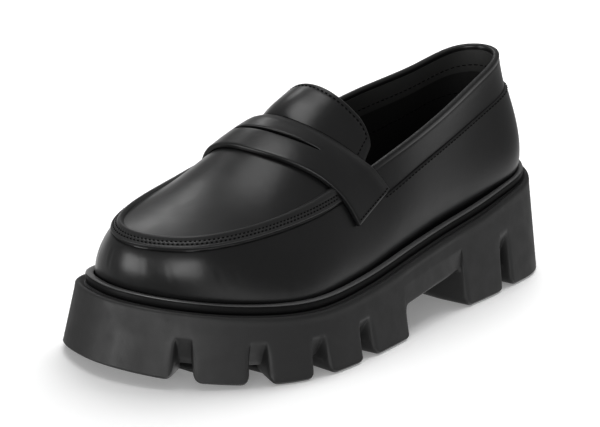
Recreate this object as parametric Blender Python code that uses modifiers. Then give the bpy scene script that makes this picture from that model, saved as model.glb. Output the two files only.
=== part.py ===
"""A platform penny loafer for the left foot, built outward from its last.

The last is a ring of sections round the foot. Each section is a profile that
climbs from the foot line, where the upper meets the sole, to the top edge: the
topline behind the strap and the moccasin seam in front of it. The sole, welt
and insole are offsets of the foot line; the strap, tongue and seam lie on the
upper's own surface. Sizes are millimetres, turned to metres as meshes are made.
+X points to the toe, +Y to the wearer's left (the outer side) and +Z up.
"""
from collections import namedtuple

import bmesh
import bpy
import numpy as np

MM = 0.001

# Driving sizes
JOINT_GAP = 0.3        # clearance where two pieces meet
WALL = 2.2             # leather and lining together
STRAP_THICK = 2.0
TONGUE_THICK = 2.4
INSOLE_THICK = 4.0
INSOLE_INSET = 3.2     # from the foot line, clear of the upper's wall
INSOLE_BEVEL = 1.0
RIM_OUT = 10.0         # foot line to the outer edge of the sole's flat rim
RIM_OUT_TOE = 10.8
RIM_OUT_HEEL = 7.2
HEEL_RIM_FROM = -70.0  # the rim narrows from here
HEEL_RIM_TO = -112.0   # to here
FLARE = 5.5            # how far the sole spreads from rim to floor
FLARE_HEEL = 4.5
RIM_ROUND = 1.6
RIM_ROUND_HEEL = 2.6
RIM_CORNER = 0.3       # share of that round where its corner is cut
FLOOR_ROUND = 1.2
COLLAR_STEP = 0.9      # the quarters stand this far proud of the collar band
COLLAR_LEDGE = 0.7     # width of the ledge at that step
COLLAR_FADE = (6.0, -6.0)
THROAT_X = 16.0        # rear edge of the apron, under the strap

# Mesh counts
RING = 84              # sections in the finished ring, a multiple of four
FINE_RING = 800        # sections in the ring that surfaces are read from
KNOT_POWER = 0.6       # spacing of the ring's knots, as a power of the chord
PROFILE_STEPS = 61
WALL_ROWS = [0.0, 0.12, 0.3, 0.5, 0.7, 0.87, 1.0]
COLLAR_ROWS = [0.0, 0.5]
ROOF_COLUMNS = 10
STRAP_COLUMNS = 25
TONGUE_COLUMNS = 17
TONGUE_BACK_ROWS = 9     # behind the strap
TONGUE_FRONT_ROWS = 8    # under it and the apron
SHARP_ANGLE = 40.0
TINY = 0.05

# Shape of the last, a row for each section from the heel round the outer side,
# the toe and the inner side. foot is the foot line, edge the top edge; the
# handles shape the profile between: low_out and low_up leave the foot line,
# high_out and high_down reach the top edge. band is the width of the collar
# band, or of the stitched strip in front of the strap.
Section = namedtuple("Section", "name foot_x foot_y edge_x edge_y edge_z "
                                "low_out low_up high_out high_down band")
SECTIONS = [
    Section("heel",             -131.0,   0.0, -124.5,   0.0, 102.8, 6.5, 17.0, 1.5, 15.0, 15.0),
    Section("outer heel turn",  -120.5,  21.5, -115.0,  14.5, 100.8, 8.0, 17.0, 2.0, 15.0, 15.0),
    Section("outer heel",       -102.0,  27.0,  -95.0,  20.0,  95.2, 5.5, 16.0, 1.5, 15.0, 14.5),
    Section("outer counter",     -65.0,  29.6,  -62.0,  27.0,  87.0, 3.5, 15.0, 1.0, 14.0, 14.0),
    Section("outer waist",       -30.0,  34.2,  -30.0,  31.0,  79.0, 3.0, 13.0, 1.5, 14.0, 14.0),
    Section("outer instep",        3.0,  40.3,    0.0,  31.0,  70.5, 4.0, 12.0, 4.0, 10.0, 13.0),
    Section("outer joint rear",   34.0,  44.6,   30.0,  34.0,  64.8, 5.0, 11.0, 6.5,  7.5,  6.0),
    Section("outer joint",        61.0,  43.9,   57.0,  32.5,  61.0, 5.5, 10.0, 7.0,  5.0,  5.0),
    Section("outer toe side",     86.0,  30.5,   82.0,  27.0,  59.0, 5.5, 10.0, 6.5,  4.5,  5.0),
    Section("outer toe turn",    101.0,  14.0,   97.0,  15.0,  57.6, 5.0, 10.0, 6.0,  4.5,  5.0),
    Section("toe",               106.2,  -7.0,  103.0,  -5.5,  57.0, 5.0, 10.0, 6.0,  4.5,  5.0),
    Section("inner toe turn",    102.5, -22.0,   97.0, -21.0,  57.8, 5.0, 10.0, 6.0,  4.5,  5.0),
    Section("inner toe side",     92.0, -37.0,   80.0, -31.0,  59.6, 5.5, 10.0, 6.5,  4.5,  5.0),
    Section("inner joint",        66.0, -42.7,   55.0, -36.0,  62.2, 5.5, 10.0, 7.0,  5.0,  5.0),
    Section("inner joint rear",   36.0, -40.0,   28.0, -36.5,  66.3, 5.0, 11.0, 6.5,  7.5,  6.0),
    Section("inner instep",        5.0, -33.2,    0.0, -32.0,  71.5, 4.0, 12.0, 4.0, 10.0, 13.0),
    Section("inner waist",       -30.0, -28.0,  -30.0, -30.5,  79.2, 4.0, 13.0, 1.5, 14.0, 14.0),
    Section("inner counter",     -65.0, -27.5,  -62.0, -27.0,  87.3, 3.5, 15.0, 1.0, 14.0, 14.0),
    Section("inner heel",       -102.0, -27.0,  -95.0, -20.0,  94.8, 5.0, 16.0, 1.5, 15.0, 14.5),
    Section("inner heel turn",  -120.5, -21.5, -115.0, -14.5, 100.7, 7.0, 17.0, 1.5, 15.0, 15.0),
]

# Side profiles, a row for each station along the shoe: x, height
RIM_HEIGHT = [(-145, 49.0), (-105, 42.0), (-75, 37.1), (-45, 33.6), (-15, 30.7), (15, 27.8),
              (45, 26.3), (70, 27.0), (90, 28.7), (105, 30.8), (125, 33.6)]
CROWN_HEIGHT = [(-20, 89.0), (-4, 89.8), (5, 90.5), (12, 90.3), (24, 86.5), (36, 81.0),
                (60, 70.0), (80, 63.5), (95, 59.2), (103, 57.0)]
# The crown lies towards the inner side, as the ridge of an instep does: x, sideways shift
CROWN_SHIFT = [(-20, -5.5), (36, -5.5), (70, -3.0), (95, 0.0), (103, 0.0)]

# The sole is flat up to here, then its toe lifts off the floor
SPRING_FROM = 70.0
SPRING_TO = 125.0
TOE_SPRING = 6.2

# and the back of the heel is bevelled off the floor
BEVEL_FROM = -121.0
BEVEL_TO = -144.0
HEEL_BEVEL = 4.0

# Sole cuts. The arch is one cut across; the notches are cut in from both sides.
CUT_BELOW = 6.0        # cutters start this far under the floor
ARCH_HALF_LENGTH = 90.0
ARCH_FRONT = -6.0
ARCH_REAR = -57.0
ARCH_TOP = 16.8
ARCH_TOP_FRONT = 13.6  # its roof falls towards the front
ARCH_ROUND = 3.5       # its front top corner
ARCH_HEEL_ROUND = 2.5  # its corner at the heel block
NOTCH_WIDTH = 10.5
NOTCH_REACH = 30.0     # how far the floor channel runs in from the side
NOTCH_BITE = 8.5       # depth of the side recess at the tread base
NOTCH_TOP = 0.66       # where the recess fades out, as a share of the side's height
NOTCH_FADE = 0.4       # depth of the recess where it ends
NOTCH_PAST = 8.0       # the cutter runs this far past the sole's edge
LUG_SHARE = 0.23       # tread base height, as a share of the side's height
NOTCHES = {"outer": [111.0, 87.0, 59.5, 28.5, -91.5],  # x at the floor
           "inner": [92.0, 61.5, 31.0, -91.5]}

# Welt bead, its section as (share of the rim's width, height over the rim)
WELT_SECTION = [(0.24, 0.0), (0.58, 0.0), (0.59, 2.0), (0.52, 3.5), (0.41, 4.0), (0.30, 3.5), (0.24, 2.0)]

# Strap edges, where each crosses the top edge and where it ends below it
StrapEdge = namedtuple("StrapEdge", "outer_end outer_edge bow inner_edge inner_end drop")
STRAP_FRONT = StrapEdge(15.0, 22.0, 11.0, 29.0, 22.0, 18.5)
STRAP_REAR = StrapEdge(-12.0, -5.0, 13.5, 2.0, -1.0, 13.5)
STRAP_LIFT = 0.45      # clearance over the upper
STRAP_WIDTH = 25.0
STRAP_HALF = 31.5      # half its span between the top edges
DROP_LIMIT = 0.3       # how far past its edges the drop goes on changing
DOWN_SHARES = [0.0, 0.35, 0.7]
FRONT_SHARES = [0.0, 0.17, 0.34]
REAR_SHARES = [0.72, 0.86, 1.0]
SLIT_AT = 0.51         # share of the strap's width, from its front edge
SLIT_TURN = 0.05       # its inner end lies this much nearer the front edge
SLIT_HALF_LENGTH = 0.62
SLIT_GAP = 2.4
SLIT_LINE = 0.5        # width of the closed strip at each end of the slit

# Tongue: its place in plan, and how it rises behind the strap
TONGUE_FRONT = 42.0
TONGUE_TOP = -8.0
TONGUE_TOP_DIP = 7.0   # its top edge runs further back towards the corners
TONGUE_DIP_POWER = 2.5
TONGUE_OUTER = 24.5    # at its top edge
TONGUE_SPREAD = 4.5    # its outer side is this much wider at the strap
TONGUE_NARROW_OVER = 14.0  # and narrows again under it
TONGUE_INNER = -29.0
TONGUE_KICK = 14.0     # rise at the middle of its top edge
TONGUE_RISE = 1.0      # power of its rise: straight on the outer side
TONGUE_INNER_RISE = 0.5  # and round on the inner side
TONGUE_RISE_TURN = (-0.3, 0.6)  # changing over this share of its width
TONGUE_CLEAR = 1.0     # it starts to rise this far behind the strap
TONGUE_OUTER_SHOULDER = 3.0  # powers of the fall towards its sides
TONGUE_INNER_SHOULDER = 18.0
TONGUE_SINK = 2.75     # how far it lies under the apron's outer face
TONGUE_SINK_OVER = 4.5

# Moccasin seam, across its strip: distance past the top edge onto the apron (negative is down
# the side wall), then the height of its lower and upper face over the upper
SeamRow = namedtuple("SeamRow", "across lower upper")
SEAM_ROWS = [SeamRow(-5.0, 0.4, 0.8), SeamRow(-3.4, 0.4, 1.3), SeamRow(-1.8, 0.4, 1.1),
             SeamRow(0.0, 0.5, 2.1), SeamRow(1.8, 0.45, 0.9)]
SEAM_START = 2.5       # from the strap's front edge to each end of the strip

BLACK_LEATHER = ((0.012, 0.012, 0.013, 1.0), 0.28)
EDGE_LEATHER = ((0.016, 0.016, 0.017, 1.0), 0.35)
LINING = ((0.020, 0.019, 0.018, 1.0), 0.70)
RUBBER = ((0.024, 0.024, 0.024, 1.0), 0.60)
WELT_RUBBER = ((0.018, 0.018, 0.018, 1.0), 0.40)


def table_curve(rows, at):
    """Smooth curve through rows of (station, value)."""
    x, y = np.array(rows, float).T
    slope = np.gradient(y, x)
    at = np.clip(np.asarray(at, float), x[0], x[-1])
    k = np.clip(np.searchsorted(x, at) - 1, 0, len(x) - 2)
    step = x[k + 1] - x[k]
    t = (at - x[k]) / step
    return ((1 + 2 * t) * (1 - t) ** 2 * y[k] + t * (1 - t) ** 2 * step * slope[k]
            + t * t * (3 - 2 * t) * y[k + 1] + t * t * (t - 1) * step * slope[k + 1])


def ring_curve(knots, values, at):
    """Periodic cubic spline: knots has one more entry than values, the closing one."""
    values = np.asarray(values, float)
    count = len(values)
    step = np.diff(knots)
    rise = np.roll(values, -1, axis=0) - values
    system = np.zeros((count, count))
    right = np.zeros_like(values)
    for k in range(count):
        before, after = step[k - 1], step[k]
        system[k, k - 1] += after
        system[k, k] += 2 * (before + after)
        system[k, (k + 1) % count] += before
        right[k] = 3 * (after * rise[k - 1] / before + before * rise[k] / after)
    slope = np.linalg.solve(system, right)
    at = np.asarray(at, float)
    k = np.clip(np.searchsorted(knots, at, side="right") - 1, 0, count - 1)
    span = step[k][:, None]
    t = ((at - knots[k]) / step[k])[:, None]
    n = (k + 1) % count
    return ((1 + 2 * t) * (1 - t) ** 2 * values[k] + t * (1 - t) ** 2 * span * slope[k]
            + t * t * (3 - 2 * t) * values[n] + t * t * (t - 1) * span * slope[n])


def smooth_step(x, start, end):
    t = np.clip((np.asarray(x, float) - start) / (end - start), 0.0, 1.0)
    return t * t * (3 - 2 * t)


def rim_z(x):
    return table_curve(RIM_HEIGHT, x)


def floor_z(x):
    lift = np.clip((np.asarray(x, float) - SPRING_FROM) / (SPRING_TO - SPRING_FROM), 0.0, None)
    bevel = np.clip((np.asarray(x, float) - BEVEL_FROM) / (BEVEL_TO - BEVEL_FROM), 0.0, None)
    return TOE_SPRING * lift ** 2 + HEEL_BEVEL * bevel ** 2


class Ring:
    """Sections sampled round the last. Index 0 is the heel and count/2 the toe."""

    def __init__(self, count):
        rows = np.array([row[1:] for row in SECTIONS], float)
        foot = rows[:, :2]
        chords = np.linalg.norm(np.roll(foot, -1, axis=0) - foot, axis=1) ** KNOT_POWER
        knots = np.concatenate([[0.0], np.cumsum(chords)])
        toe = knots[len(SECTIONS) // 2]
        half = count // 2
        at = np.concatenate([np.linspace(0.0, toe, half, endpoint=False),
                             np.linspace(toe, knots[-1], count - half, endpoint=False)])
        values = ring_curve(knots, rows, at)
        nudge = 1e-3 * knots[-1]
        ahead = ring_curve(knots, foot, (at + nudge) % knots[-1])
        behind = ring_curve(knots, foot, (at - nudge) % knots[-1])
        along = ahead - behind
        along /= np.linalg.norm(along, axis=1)[:, None]
        self.count = count
        self.foot = values[:, :2]
        self.out = np.column_stack([-along[:, 1], along[:, 0]])
        self.edge = values[:, 2:5]
        self.low_out, self.low_up, self.high_out, self.high_down, self.band = values[:, 5:].T

    def offset(self, out, up, height):
        """Loop at a distance out from the foot line; height gives z from x, plus up."""
        plan = self.foot + self.out * np.broadcast_to(out, self.count)[:, None]
        return np.column_stack([plan, height(plan[:, 0]) + up])

    def profile(self, t):
        """Points of the upper's outer surface; t is 0 at the foot line and 1 at the top edge."""
        t = np.broadcast_to(t, self.count)[:, None]
        lift = np.array([0.0, 0.0, 1.0])
        out = np.column_stack([self.out, np.zeros(self.count)])
        start = self.offset(0.0, JOINT_GAP, rim_z)
        low = start + out * self.low_out[:, None] + lift * self.low_up[:, None]
        high = self.edge + out * self.high_out[:, None] - lift * self.high_down[:, None]
        return ((1 - t) ** 3 * start + 3 * t * (1 - t) ** 2 * low
                + 3 * t * t * (1 - t) * high + t ** 3 * self.edge)

    def below_edge(self, distance):
        """The t that lies a distance below the top edge, measured along the profile."""
        steps = np.linspace(1.0, 0.0, PROFILE_STEPS)
        points = np.stack([self.profile(t) for t in steps])
        run = np.concatenate([np.zeros((1, self.count)),
                              np.cumsum(np.linalg.norm(np.diff(points, axis=0), axis=2), axis=0)])
        distance = np.broadcast_to(distance, self.count)
        return np.array([np.interp(distance[i], run[:, i], steps) for i in range(self.count)])


def arch_rise(eta, half, height):
    """Height of a circular arch of a given half width and crown height at eta, -1 to 1."""
    half = max(half, TINY)
    height = np.clip(height, TINY / 2, half)
    radius = (half * half + height * height) / (2 * height)
    return np.sqrt(np.maximum(radius * radius - (eta * half) ** 2, 0.0)) - (radius - height)


class Last:
    """Finely sampled ring, for points of the top edge and the wall at a given x."""

    def __init__(self):
        self.ring = Ring(FINE_RING)
        half = self.ring.count // 2
        self.sides = {"outer": np.arange(0, half + 1),
                      "inner": np.arange(self.ring.count, half - 1, -1) % self.ring.count}

    def index(self, x, side):
        order = self.sides[side]
        return np.interp(x, self.ring.edge[order, 0], np.arange(len(order)))

    def pick(self, values, x, side):
        """Row of a table of the ring's points at the section whose top edge is at x."""
        order = self.sides[side]
        at = self.index(x, side)
        low = min(int(at), len(order) - 2)
        share = at - low
        return values[order[low]] * (1 - share) + values[order[low + 1]] * share

    def edge(self, x, side):
        return self.pick(self.ring.edge, x, side)

    def roof(self, x, eta):
        """Point of the instep roof over x; eta is 1 at the outer top edge and -1 at the inner."""
        outer, inner = self.edge(x, "outer"), self.edge(x, "inner")
        point = outer + (inner - outer) * (1 - eta) / 2
        half = max((outer[1] - inner[1]) / 2, TINY)
        shift = np.clip(table_curve(CROWN_SHIFT, x), -half / 3, half / 3)
        off = eta * half - shift
        reach = half - shift if off > 0 else half + shift
        share = (1 - shift / half) / 2
        crown = table_curve(CROWN_HEIGHT, x) - (outer[2] + (inner[2] - outer[2]) * share)
        point[2] += arch_rise(off / reach, reach, crown)
        return point

    def roof_under(self, x, y):
        """Point of the roof straight above or below a point in plan."""
        outer, inner = self.edge(x, "outer")[1], self.edge(x, "inner")[1]
        eta = (2 * y - outer - inner) / max(outer - inner, TINY)
        return self.roof(x, np.clip(eta, -1, 1))


LAST = Last()


def new_material(name, look):
    colour, roughness = look
    material = bpy.data.materials.new(name)
    material.use_nodes = True
    shader = material.node_tree.nodes["Principled BSDF"]
    shader.inputs["Base Color"].default_value = colour
    shader.inputs["Roughness"].default_value = roughness
    shader.inputs["Metallic"].default_value = 0.0
    return material


def new_object(name, mesh_data, collection, parent, material):
    """Mesh object from a bmesh whose points are millimetres."""
    for vert in mesh_data.verts:
        vert.co *= MM
    mesh = bpy.data.meshes.new(name)
    mesh_data.to_mesh(mesh)
    mesh_data.free()
    mesh.shade_smooth()
    mesh.set_sharp_from_angle(angle=np.radians(SHARP_ANGLE))
    item = bpy.data.objects.new(name, mesh)
    collection.objects.link(item)
    item.parent = parent
    if material is not None:
        mesh.materials.append(material)
    return item


def add_verts(mesh_data, points):
    return [mesh_data.verts.new(tuple(p)) for p in points]


def bridge(mesh_data, lower, upper, closed=True):
    """Faces between two rows of verts that run heel, outer side, toe, inner side, facing out."""
    count = len(lower)
    for i in range(count if closed else count - 1):
        n = (i + 1) % count
        mesh_data.faces.new((lower[i], upper[i], upper[n], lower[n]))


def ladder_cap(mesh_data, loop, upward):
    """Close a ring of verts with rungs from its outer side to its inner side."""
    count = len(loop)
    for i in range(count // 2):
        corners = [loop[i], loop[-i % count], loop[-(i + 1) % count], loop[i + 1]]
        corners = list(dict.fromkeys(corners))
        mesh_data.faces.new(corners if upward else corners[::-1])


def stacked_rings(loops):
    """Closed body through rings listed from bottom to top."""
    mesh_data = bmesh.new()
    rows = [add_verts(mesh_data, loop) for loop in loops]
    for lower, upper in zip(rows, rows[1:]):
        bridge(mesh_data, lower, upper)
    ladder_cap(mesh_data, rows[-1], True)
    ladder_cap(mesh_data, rows[0], False)
    return mesh_data


def solidify(item, thickness, offset):
    shell = item.modifiers.new("wall", "SOLIDIFY")
    shell.thickness = thickness * MM
    shell.offset = offset
    shell.use_even_offset = True
    shell.use_quality_normals = True


def rim_out(ring):
    """Width of the sole's rim, from the foot line to its outer edge."""
    toe = np.clip(ring.out[:, 0], 0, 1) ** 2
    heel = smooth_step(ring.foot[:, 0], HEEL_RIM_FROM, HEEL_RIM_TO)
    return RIM_OUT + (RIM_OUT_TOE - RIM_OUT) * toe + (RIM_OUT_HEEL - RIM_OUT) * heel


def floor_out(ring):
    """Distance from the foot line to the sole's edge at the floor."""
    heel = np.clip(-ring.out[:, 0], 0, 1) ** 2
    return rim_out(ring) + FLARE + (FLARE_HEEL - FLARE) * heel


def outsole_body(ring):
    """Platform unit before its arch and notches are cut."""
    rim = rim_out(ring)
    foot = floor_out(ring)
    heel = smooth_step(ring.foot[:, 0], HEEL_RIM_FROM, HEEL_RIM_TO)
    corner = RIM_ROUND + (RIM_ROUND_HEEL - RIM_ROUND) * heel
    return stacked_rings([
        ring.offset(foot - FLOOR_ROUND, 0.0, floor_z),
        ring.offset(foot, FLOOR_ROUND, floor_z),
        ring.offset(rim, -corner, rim_z),
        ring.offset(rim - RIM_CORNER * corner, -RIM_CORNER * corner, rim_z),
        ring.offset(rim - corner, 0.0, rim_z),
    ])


def prism(outline, depth):
    """Closed bmesh of a flat outline in its own u, v plane, extruded both ways along w."""
    mesh_data = bmesh.new()
    base = mesh_data.faces.new(add_verts(mesh_data, [(u, v, -depth) for u, v in outline]))
    moved = bmesh.ops.extrude_face_region(mesh_data, geom=[base])["geom"]
    verts = [piece for piece in moved if isinstance(piece, bmesh.types.BMVert)]
    bmesh.ops.translate(mesh_data, vec=(0.0, 0.0, 2 * depth), verts=verts)
    bmesh.ops.recalc_face_normals(mesh_data, faces=mesh_data.faces)
    return mesh_data


def place_axes(mesh_data, origin, u_axis, v_axis, w_axis):
    for vert in mesh_data.verts:
        u, v, w = vert.co
        vert.co = tuple(np.array(origin) + u * np.array(u_axis) + v * np.array(v_axis)
                        + w * np.array(w_axis))


def arch_cutter():
    """Rounded tunnel across the sole between the front lugs and the heel."""
    bend = [np.radians(a) for a in (0, 30, 60, 90)]
    outline = [(ARCH_REAR, -CUT_BELOW), (ARCH_FRONT, -CUT_BELOW)]
    outline += [(ARCH_FRONT - ARCH_ROUND * (1 - np.cos(a)), ARCH_TOP_FRONT - ARCH_ROUND * (1 - np.sin(a)))
                for a in bend]
    outline += [(ARCH_REAR + ARCH_HEEL_ROUND * (1 - np.sin(a)), ARCH_TOP - ARCH_HEEL_ROUND * (1 - np.cos(a)))
                for a in bend]
    mesh_data = prism(outline, ARCH_HALF_LENGTH)
    place_axes(mesh_data, (0, 0, 0), (1, 0, 0), (0, 0, 1), (0, -1, 0))
    return mesh_data


def notch_cutter(x, side):
    """Floor channel with a side recess that fades out upward, square to the sole's edge."""
    ring = LAST.ring
    loop = ring.offset(floor_out(ring), 0.0, floor_z)
    order = LAST.sides[side]
    spot = order[np.argmin(abs(loop[order, 0] - x))]
    out = np.array([*ring.out[spot], 0.0])
    along = np.array([out[1], -out[0], 0.0])
    height = rim_z(x) - floor_z(x)
    base = LUG_SHARE * height
    top = NOTCH_TOP * height
    fade = -FLARE * NOTCH_TOP - NOTCH_FADE
    outline = [(-NOTCH_REACH, -CUT_BELOW), (NOTCH_PAST, -CUT_BELOW), (NOTCH_PAST, top), (fade, top),
               (-NOTCH_BITE, base), (-NOTCH_REACH, base)]
    mesh_data = prism(outline, NOTCH_WIDTH / 2)
    place_axes(mesh_data, loop[spot], out, (0, 0, 1), along)
    return mesh_data


def cut(item, cutter):
    cutter.hide_render = True
    cutter.display_type = "WIRE"
    step = item.modifiers.new("cut " + cutter.name, "BOOLEAN")
    step.operation = "DIFFERENCE"
    step.object = cutter


def welt_ring(ring):
    mesh_data = bmesh.new()
    rim = rim_out(ring)
    loops = [add_verts(mesh_data, ring.offset(rim * share, JOINT_GAP + up, rim_z))
             for share, up in WELT_SECTION]
    for lower, upper in zip(loops, loops[1:] + loops[:1]):
        bridge(mesh_data, lower, upper)
    return mesh_data


def insole_board(ring):
    base = JOINT_GAP
    return stacked_rings([
        ring.offset(-INSOLE_INSET, base, rim_z),
        ring.offset(-INSOLE_INSET, base + INSOLE_THICK - INSOLE_BEVEL, rim_z),
        ring.offset(-INSOLE_INSET - INSOLE_BEVEL, base + INSOLE_THICK, rim_z),
    ])


def upper_wall(ring):
    """Outer face of the upper: side walls up to the top edge, and the apron over the toes."""
    seam = ring.below_edge(ring.band)
    ledge = ring.below_edge(ring.band - COLLAR_LEDGE)
    collar = smooth_step(ring.edge[:, 0], *COLLAR_FADE)
    out = np.column_stack([ring.out, np.zeros(ring.count)])
    rows = [ring.profile(seam * share) for share in WALL_ROWS]
    for share in COLLAR_ROWS:
        recess = COLLAR_STEP * collar * (1 - share)
        rows.append(ring.profile(ledge + (1 - ledge) * share) - out * recess[:, None])
    rows.append(ring.edge)
    mesh_data = bmesh.new()
    verts = [add_verts(mesh_data, row) for row in rows]
    for lower, upper in zip(verts, verts[1:]):
        bridge(mesh_data, lower, upper)
    add_roof(mesh_data, ring, verts[-1])
    return mesh_data


def add_roof(mesh_data, ring, edge_verts):
    half = ring.count // 2
    first = int(np.argmax(ring.edge[:half, 0] > THROAT_X))
    previous = None
    for i in range(first, half):
        outer, inner = ring.edge[i], ring.edge[-i]
        shares = np.linspace(0, 1, ROOF_COLUMNS + 1)[1:-1]
        plan = [outer + (inner - outer) * share for share in shares]
        middle = add_verts(mesh_data, [LAST.roof_under(x, y) for x, y, _ in plan])
        line = [edge_verts[i]] + middle + [edge_verts[-i]]
        if previous is not None:
            for c in range(ROOF_COLUMNS):
                mesh_data.faces.new((previous[c], previous[c + 1], line[c + 1], line[c]))
        previous = line
    for c in range(ROOF_COLUMNS):
        mesh_data.faces.new((previous[c], previous[c + 1], edge_verts[half]))


def grid_faces(mesh_data, rows, keep=lambda r, c: True):
    """Faces of a grid whose rows run back to front and whose columns run outer to inner side."""
    for r in range(len(rows) - 1):
        for c in range(len(rows[0]) - 1):
            if keep(r, c):
                mesh_data.faces.new((rows[r][c], rows[r][c + 1], rows[r + 1][c + 1], rows[r + 1][c]))


def grid_normals(points):
    """Unit normals of a grid of points, facing away from the foot."""
    across = np.gradient(points, axis=1)
    forward = np.gradient(points, axis=0)
    normal = np.cross(across, forward)
    return normal / np.linalg.norm(normal, axis=2)[:, :, None]


def tongue_sheet():
    """Top face of the tongue: under the apron in front, under the strap, then rising behind it."""
    etas = np.sin(np.radians(np.linspace(90, -90, TONGUE_COLUMNS)))
    back = np.linspace(1, 0, TONGUE_BACK_ROWS) ** 2
    front = np.linspace(0, 1, TONGUE_FRONT_ROWS)[1:]
    middle = (TONGUE_OUTER + TONGUE_INNER) / 2
    half = (TONGUE_OUTER - TONGUE_INNER) / 2
    points = np.zeros((len(back) + len(front), len(etas), 3))
    past_strap = np.zeros(points.shape[:2])
    for c, eta in enumerate(etas):
        narrow = middle + eta * half
        spread = TONGUE_SPREAD * max(eta, 0.0) ** 2
        rear = TONGUE_TOP - TONGUE_TOP_DIP * abs(eta) ** TONGUE_DIP_POWER
        foot = strap_x(STRAP_REAR, "roof", (narrow + spread) / STRAP_HALF) - TONGUE_CLEAR
        shoulder = TONGUE_OUTER_SHOULDER if eta > 0 else TONGUE_INNER_SHOULDER
        fall = np.sqrt(1 - abs(eta) ** shoulder)
        rise = TONGUE_RISE + (TONGUE_INNER_RISE - TONGUE_RISE) * smooth_step(-eta, *TONGUE_RISE_TURN)
        for r, x in enumerate([*(foot + (rear - foot) * back), *(foot + (TONGUE_FRONT - foot) * front)]):
            wide = np.clip((x - rear) / (foot - rear), 0.0, 1.0)
            wide -= smooth_step(x, foot, foot + TONGUE_NARROW_OVER)
            points[r, c] = LAST.roof_under(x, narrow + spread * wide)
            behind = max(foot - x, 0.0) / (STRAP_REAR.bow - TONGUE_TOP)
            points[r, c, 2] += TONGUE_KICK * behind ** rise * fall
            past_strap[r, c] = x - foot
    sink = TONGUE_SINK * smooth_step(past_strap, 0.0, TONGUE_SINK_OVER)
    points -= grid_normals(points) * sink[:, :, None]
    mesh_data = bmesh.new()
    grid_faces(mesh_data, [add_verts(mesh_data, row) for row in points])
    return mesh_data


def strap_columns():
    """Stations along the strap: (part, value) from the outer end over the instep to the inner."""
    stations = [("outer", share) for share in DOWN_SHARES]
    stations += [("roof", eta) for eta in np.linspace(1, -1, STRAP_COLUMNS)]
    stations += [("inner", share) for share in DOWN_SHARES[::-1]]
    return stations


def strap_x(edge, part, value):
    if part == "outer":
        return edge.outer_end + (edge.outer_edge - edge.outer_end) * value
    if part == "inner":
        return edge.inner_end + (edge.inner_edge - edge.inner_end) * value
    share = (1 - value) / 2
    return edge.outer_edge + (edge.inner_edge - edge.outer_edge) * share + edge.bow * (1 - value ** 2)


def strap_sheet():
    """Underside of the strap, with the slit left open."""
    ring = LAST.ring
    across = (ring.edge[:, 0] - STRAP_REAR.outer_edge) / (STRAP_FRONT.outer_edge - STRAP_REAR.outer_edge)
    across = np.clip(across, -DROP_LIMIT, 1 + DROP_LIMIT)
    end = ring.below_edge(STRAP_REAR.drop + (STRAP_FRONT.drop - STRAP_REAR.drop) * across)
    wall = {share: ring.profile(end + (1 - end) * share) for share in DOWN_SHARES}
    stations = strap_columns()
    columns = []
    for part, value in stations:
        front = strap_x(STRAP_FRONT, part, value)
        rear = strap_x(STRAP_REAR, part, value)
        lens = np.sqrt(max(1 - (value / SLIT_HALF_LENGTH) ** 2, 0.0)) if part == "roof" else 0.0
        opening = (SLIT_LINE + (SLIT_GAP - SLIT_LINE) * lens) / (2 * STRAP_WIDTH)
        inner_side = smooth_step(-value, 0.0, SLIT_HALF_LENGTH) if part == "roof" else float(part == "inner")
        slit = SLIT_AT - SLIT_TURN * inner_side
        shares = FRONT_SHARES + [slit - opening, slit + opening] + REAR_SHARES
        places = [front + (rear - front) * share for share in reversed(shares)]
        columns.append([LAST.roof(x, value) if part == "roof" else LAST.pick(wall[value], x, part)
                        for x in places])
    points = np.array(columns).transpose(1, 0, 2)
    points += grid_normals(points) * STRAP_LIFT
    slit_row = len(REAR_SHARES)

    def solid(r, c):
        ends = [stations[c], stations[c + 1]]
        open_here = all(part == "roof" and abs(value) < SLIT_HALF_LENGTH for part, value in ends)
        return not (r == slit_row and open_here)

    mesh_data = bmesh.new()
    grid_faces(mesh_data, [add_verts(mesh_data, row) for row in points], solid)
    return mesh_data


def moc_seam_strip():
    """Raised strip that follows the top edge round the toe, from strap to strap."""
    ring = Ring(RING * 2)
    half = ring.count // 2
    first = int(np.argmax(ring.edge[:half, 0] > STRAP_FRONT.outer_edge + SEAM_START))
    last = ring.count - 1 - int(np.argmax(ring.edge[::-1][:half, 0] > STRAP_FRONT.inner_edge + SEAM_START))
    keep = np.arange(first, last + 1)
    points = np.zeros((len(SEAM_ROWS), len(keep), 3))
    for a, row in enumerate(SEAM_ROWS):
        if row.across < 0:
            points[a] = ring.profile(ring.below_edge(-row.across))[keep]
        elif row.across > 0:
            inset = ring.edge[keep, :2] - ring.out[keep] * row.across
            points[a] = [LAST.roof_under(x, y) for x, y in inset]
        else:
            points[a] = ring.edge[keep]
    normal = -grid_normals(points)
    lower = points + normal * np.array([row.lower for row in SEAM_ROWS])[:, None, None]
    upper = points + normal * np.array([row.upper for row in SEAM_ROWS])[:, None, None]
    mesh_data = bmesh.new()
    low = [add_verts(mesh_data, row) for row in lower]
    high = [add_verts(mesh_data, row) for row in upper]
    around = high + low[::-1]
    for a in range(len(around)):
        bridge(mesh_data, around[a], around[(a + 1) % len(around)], closed=False)
    for end, flip in ((0, False), (-1, True)):
        corners = [row[end] for row in around]
        mesh_data.faces.new(corners[::-1] if flip else corners)
    bmesh.ops.recalc_face_normals(mesh_data, faces=mesh_data.faces)
    return mesh_data


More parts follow.
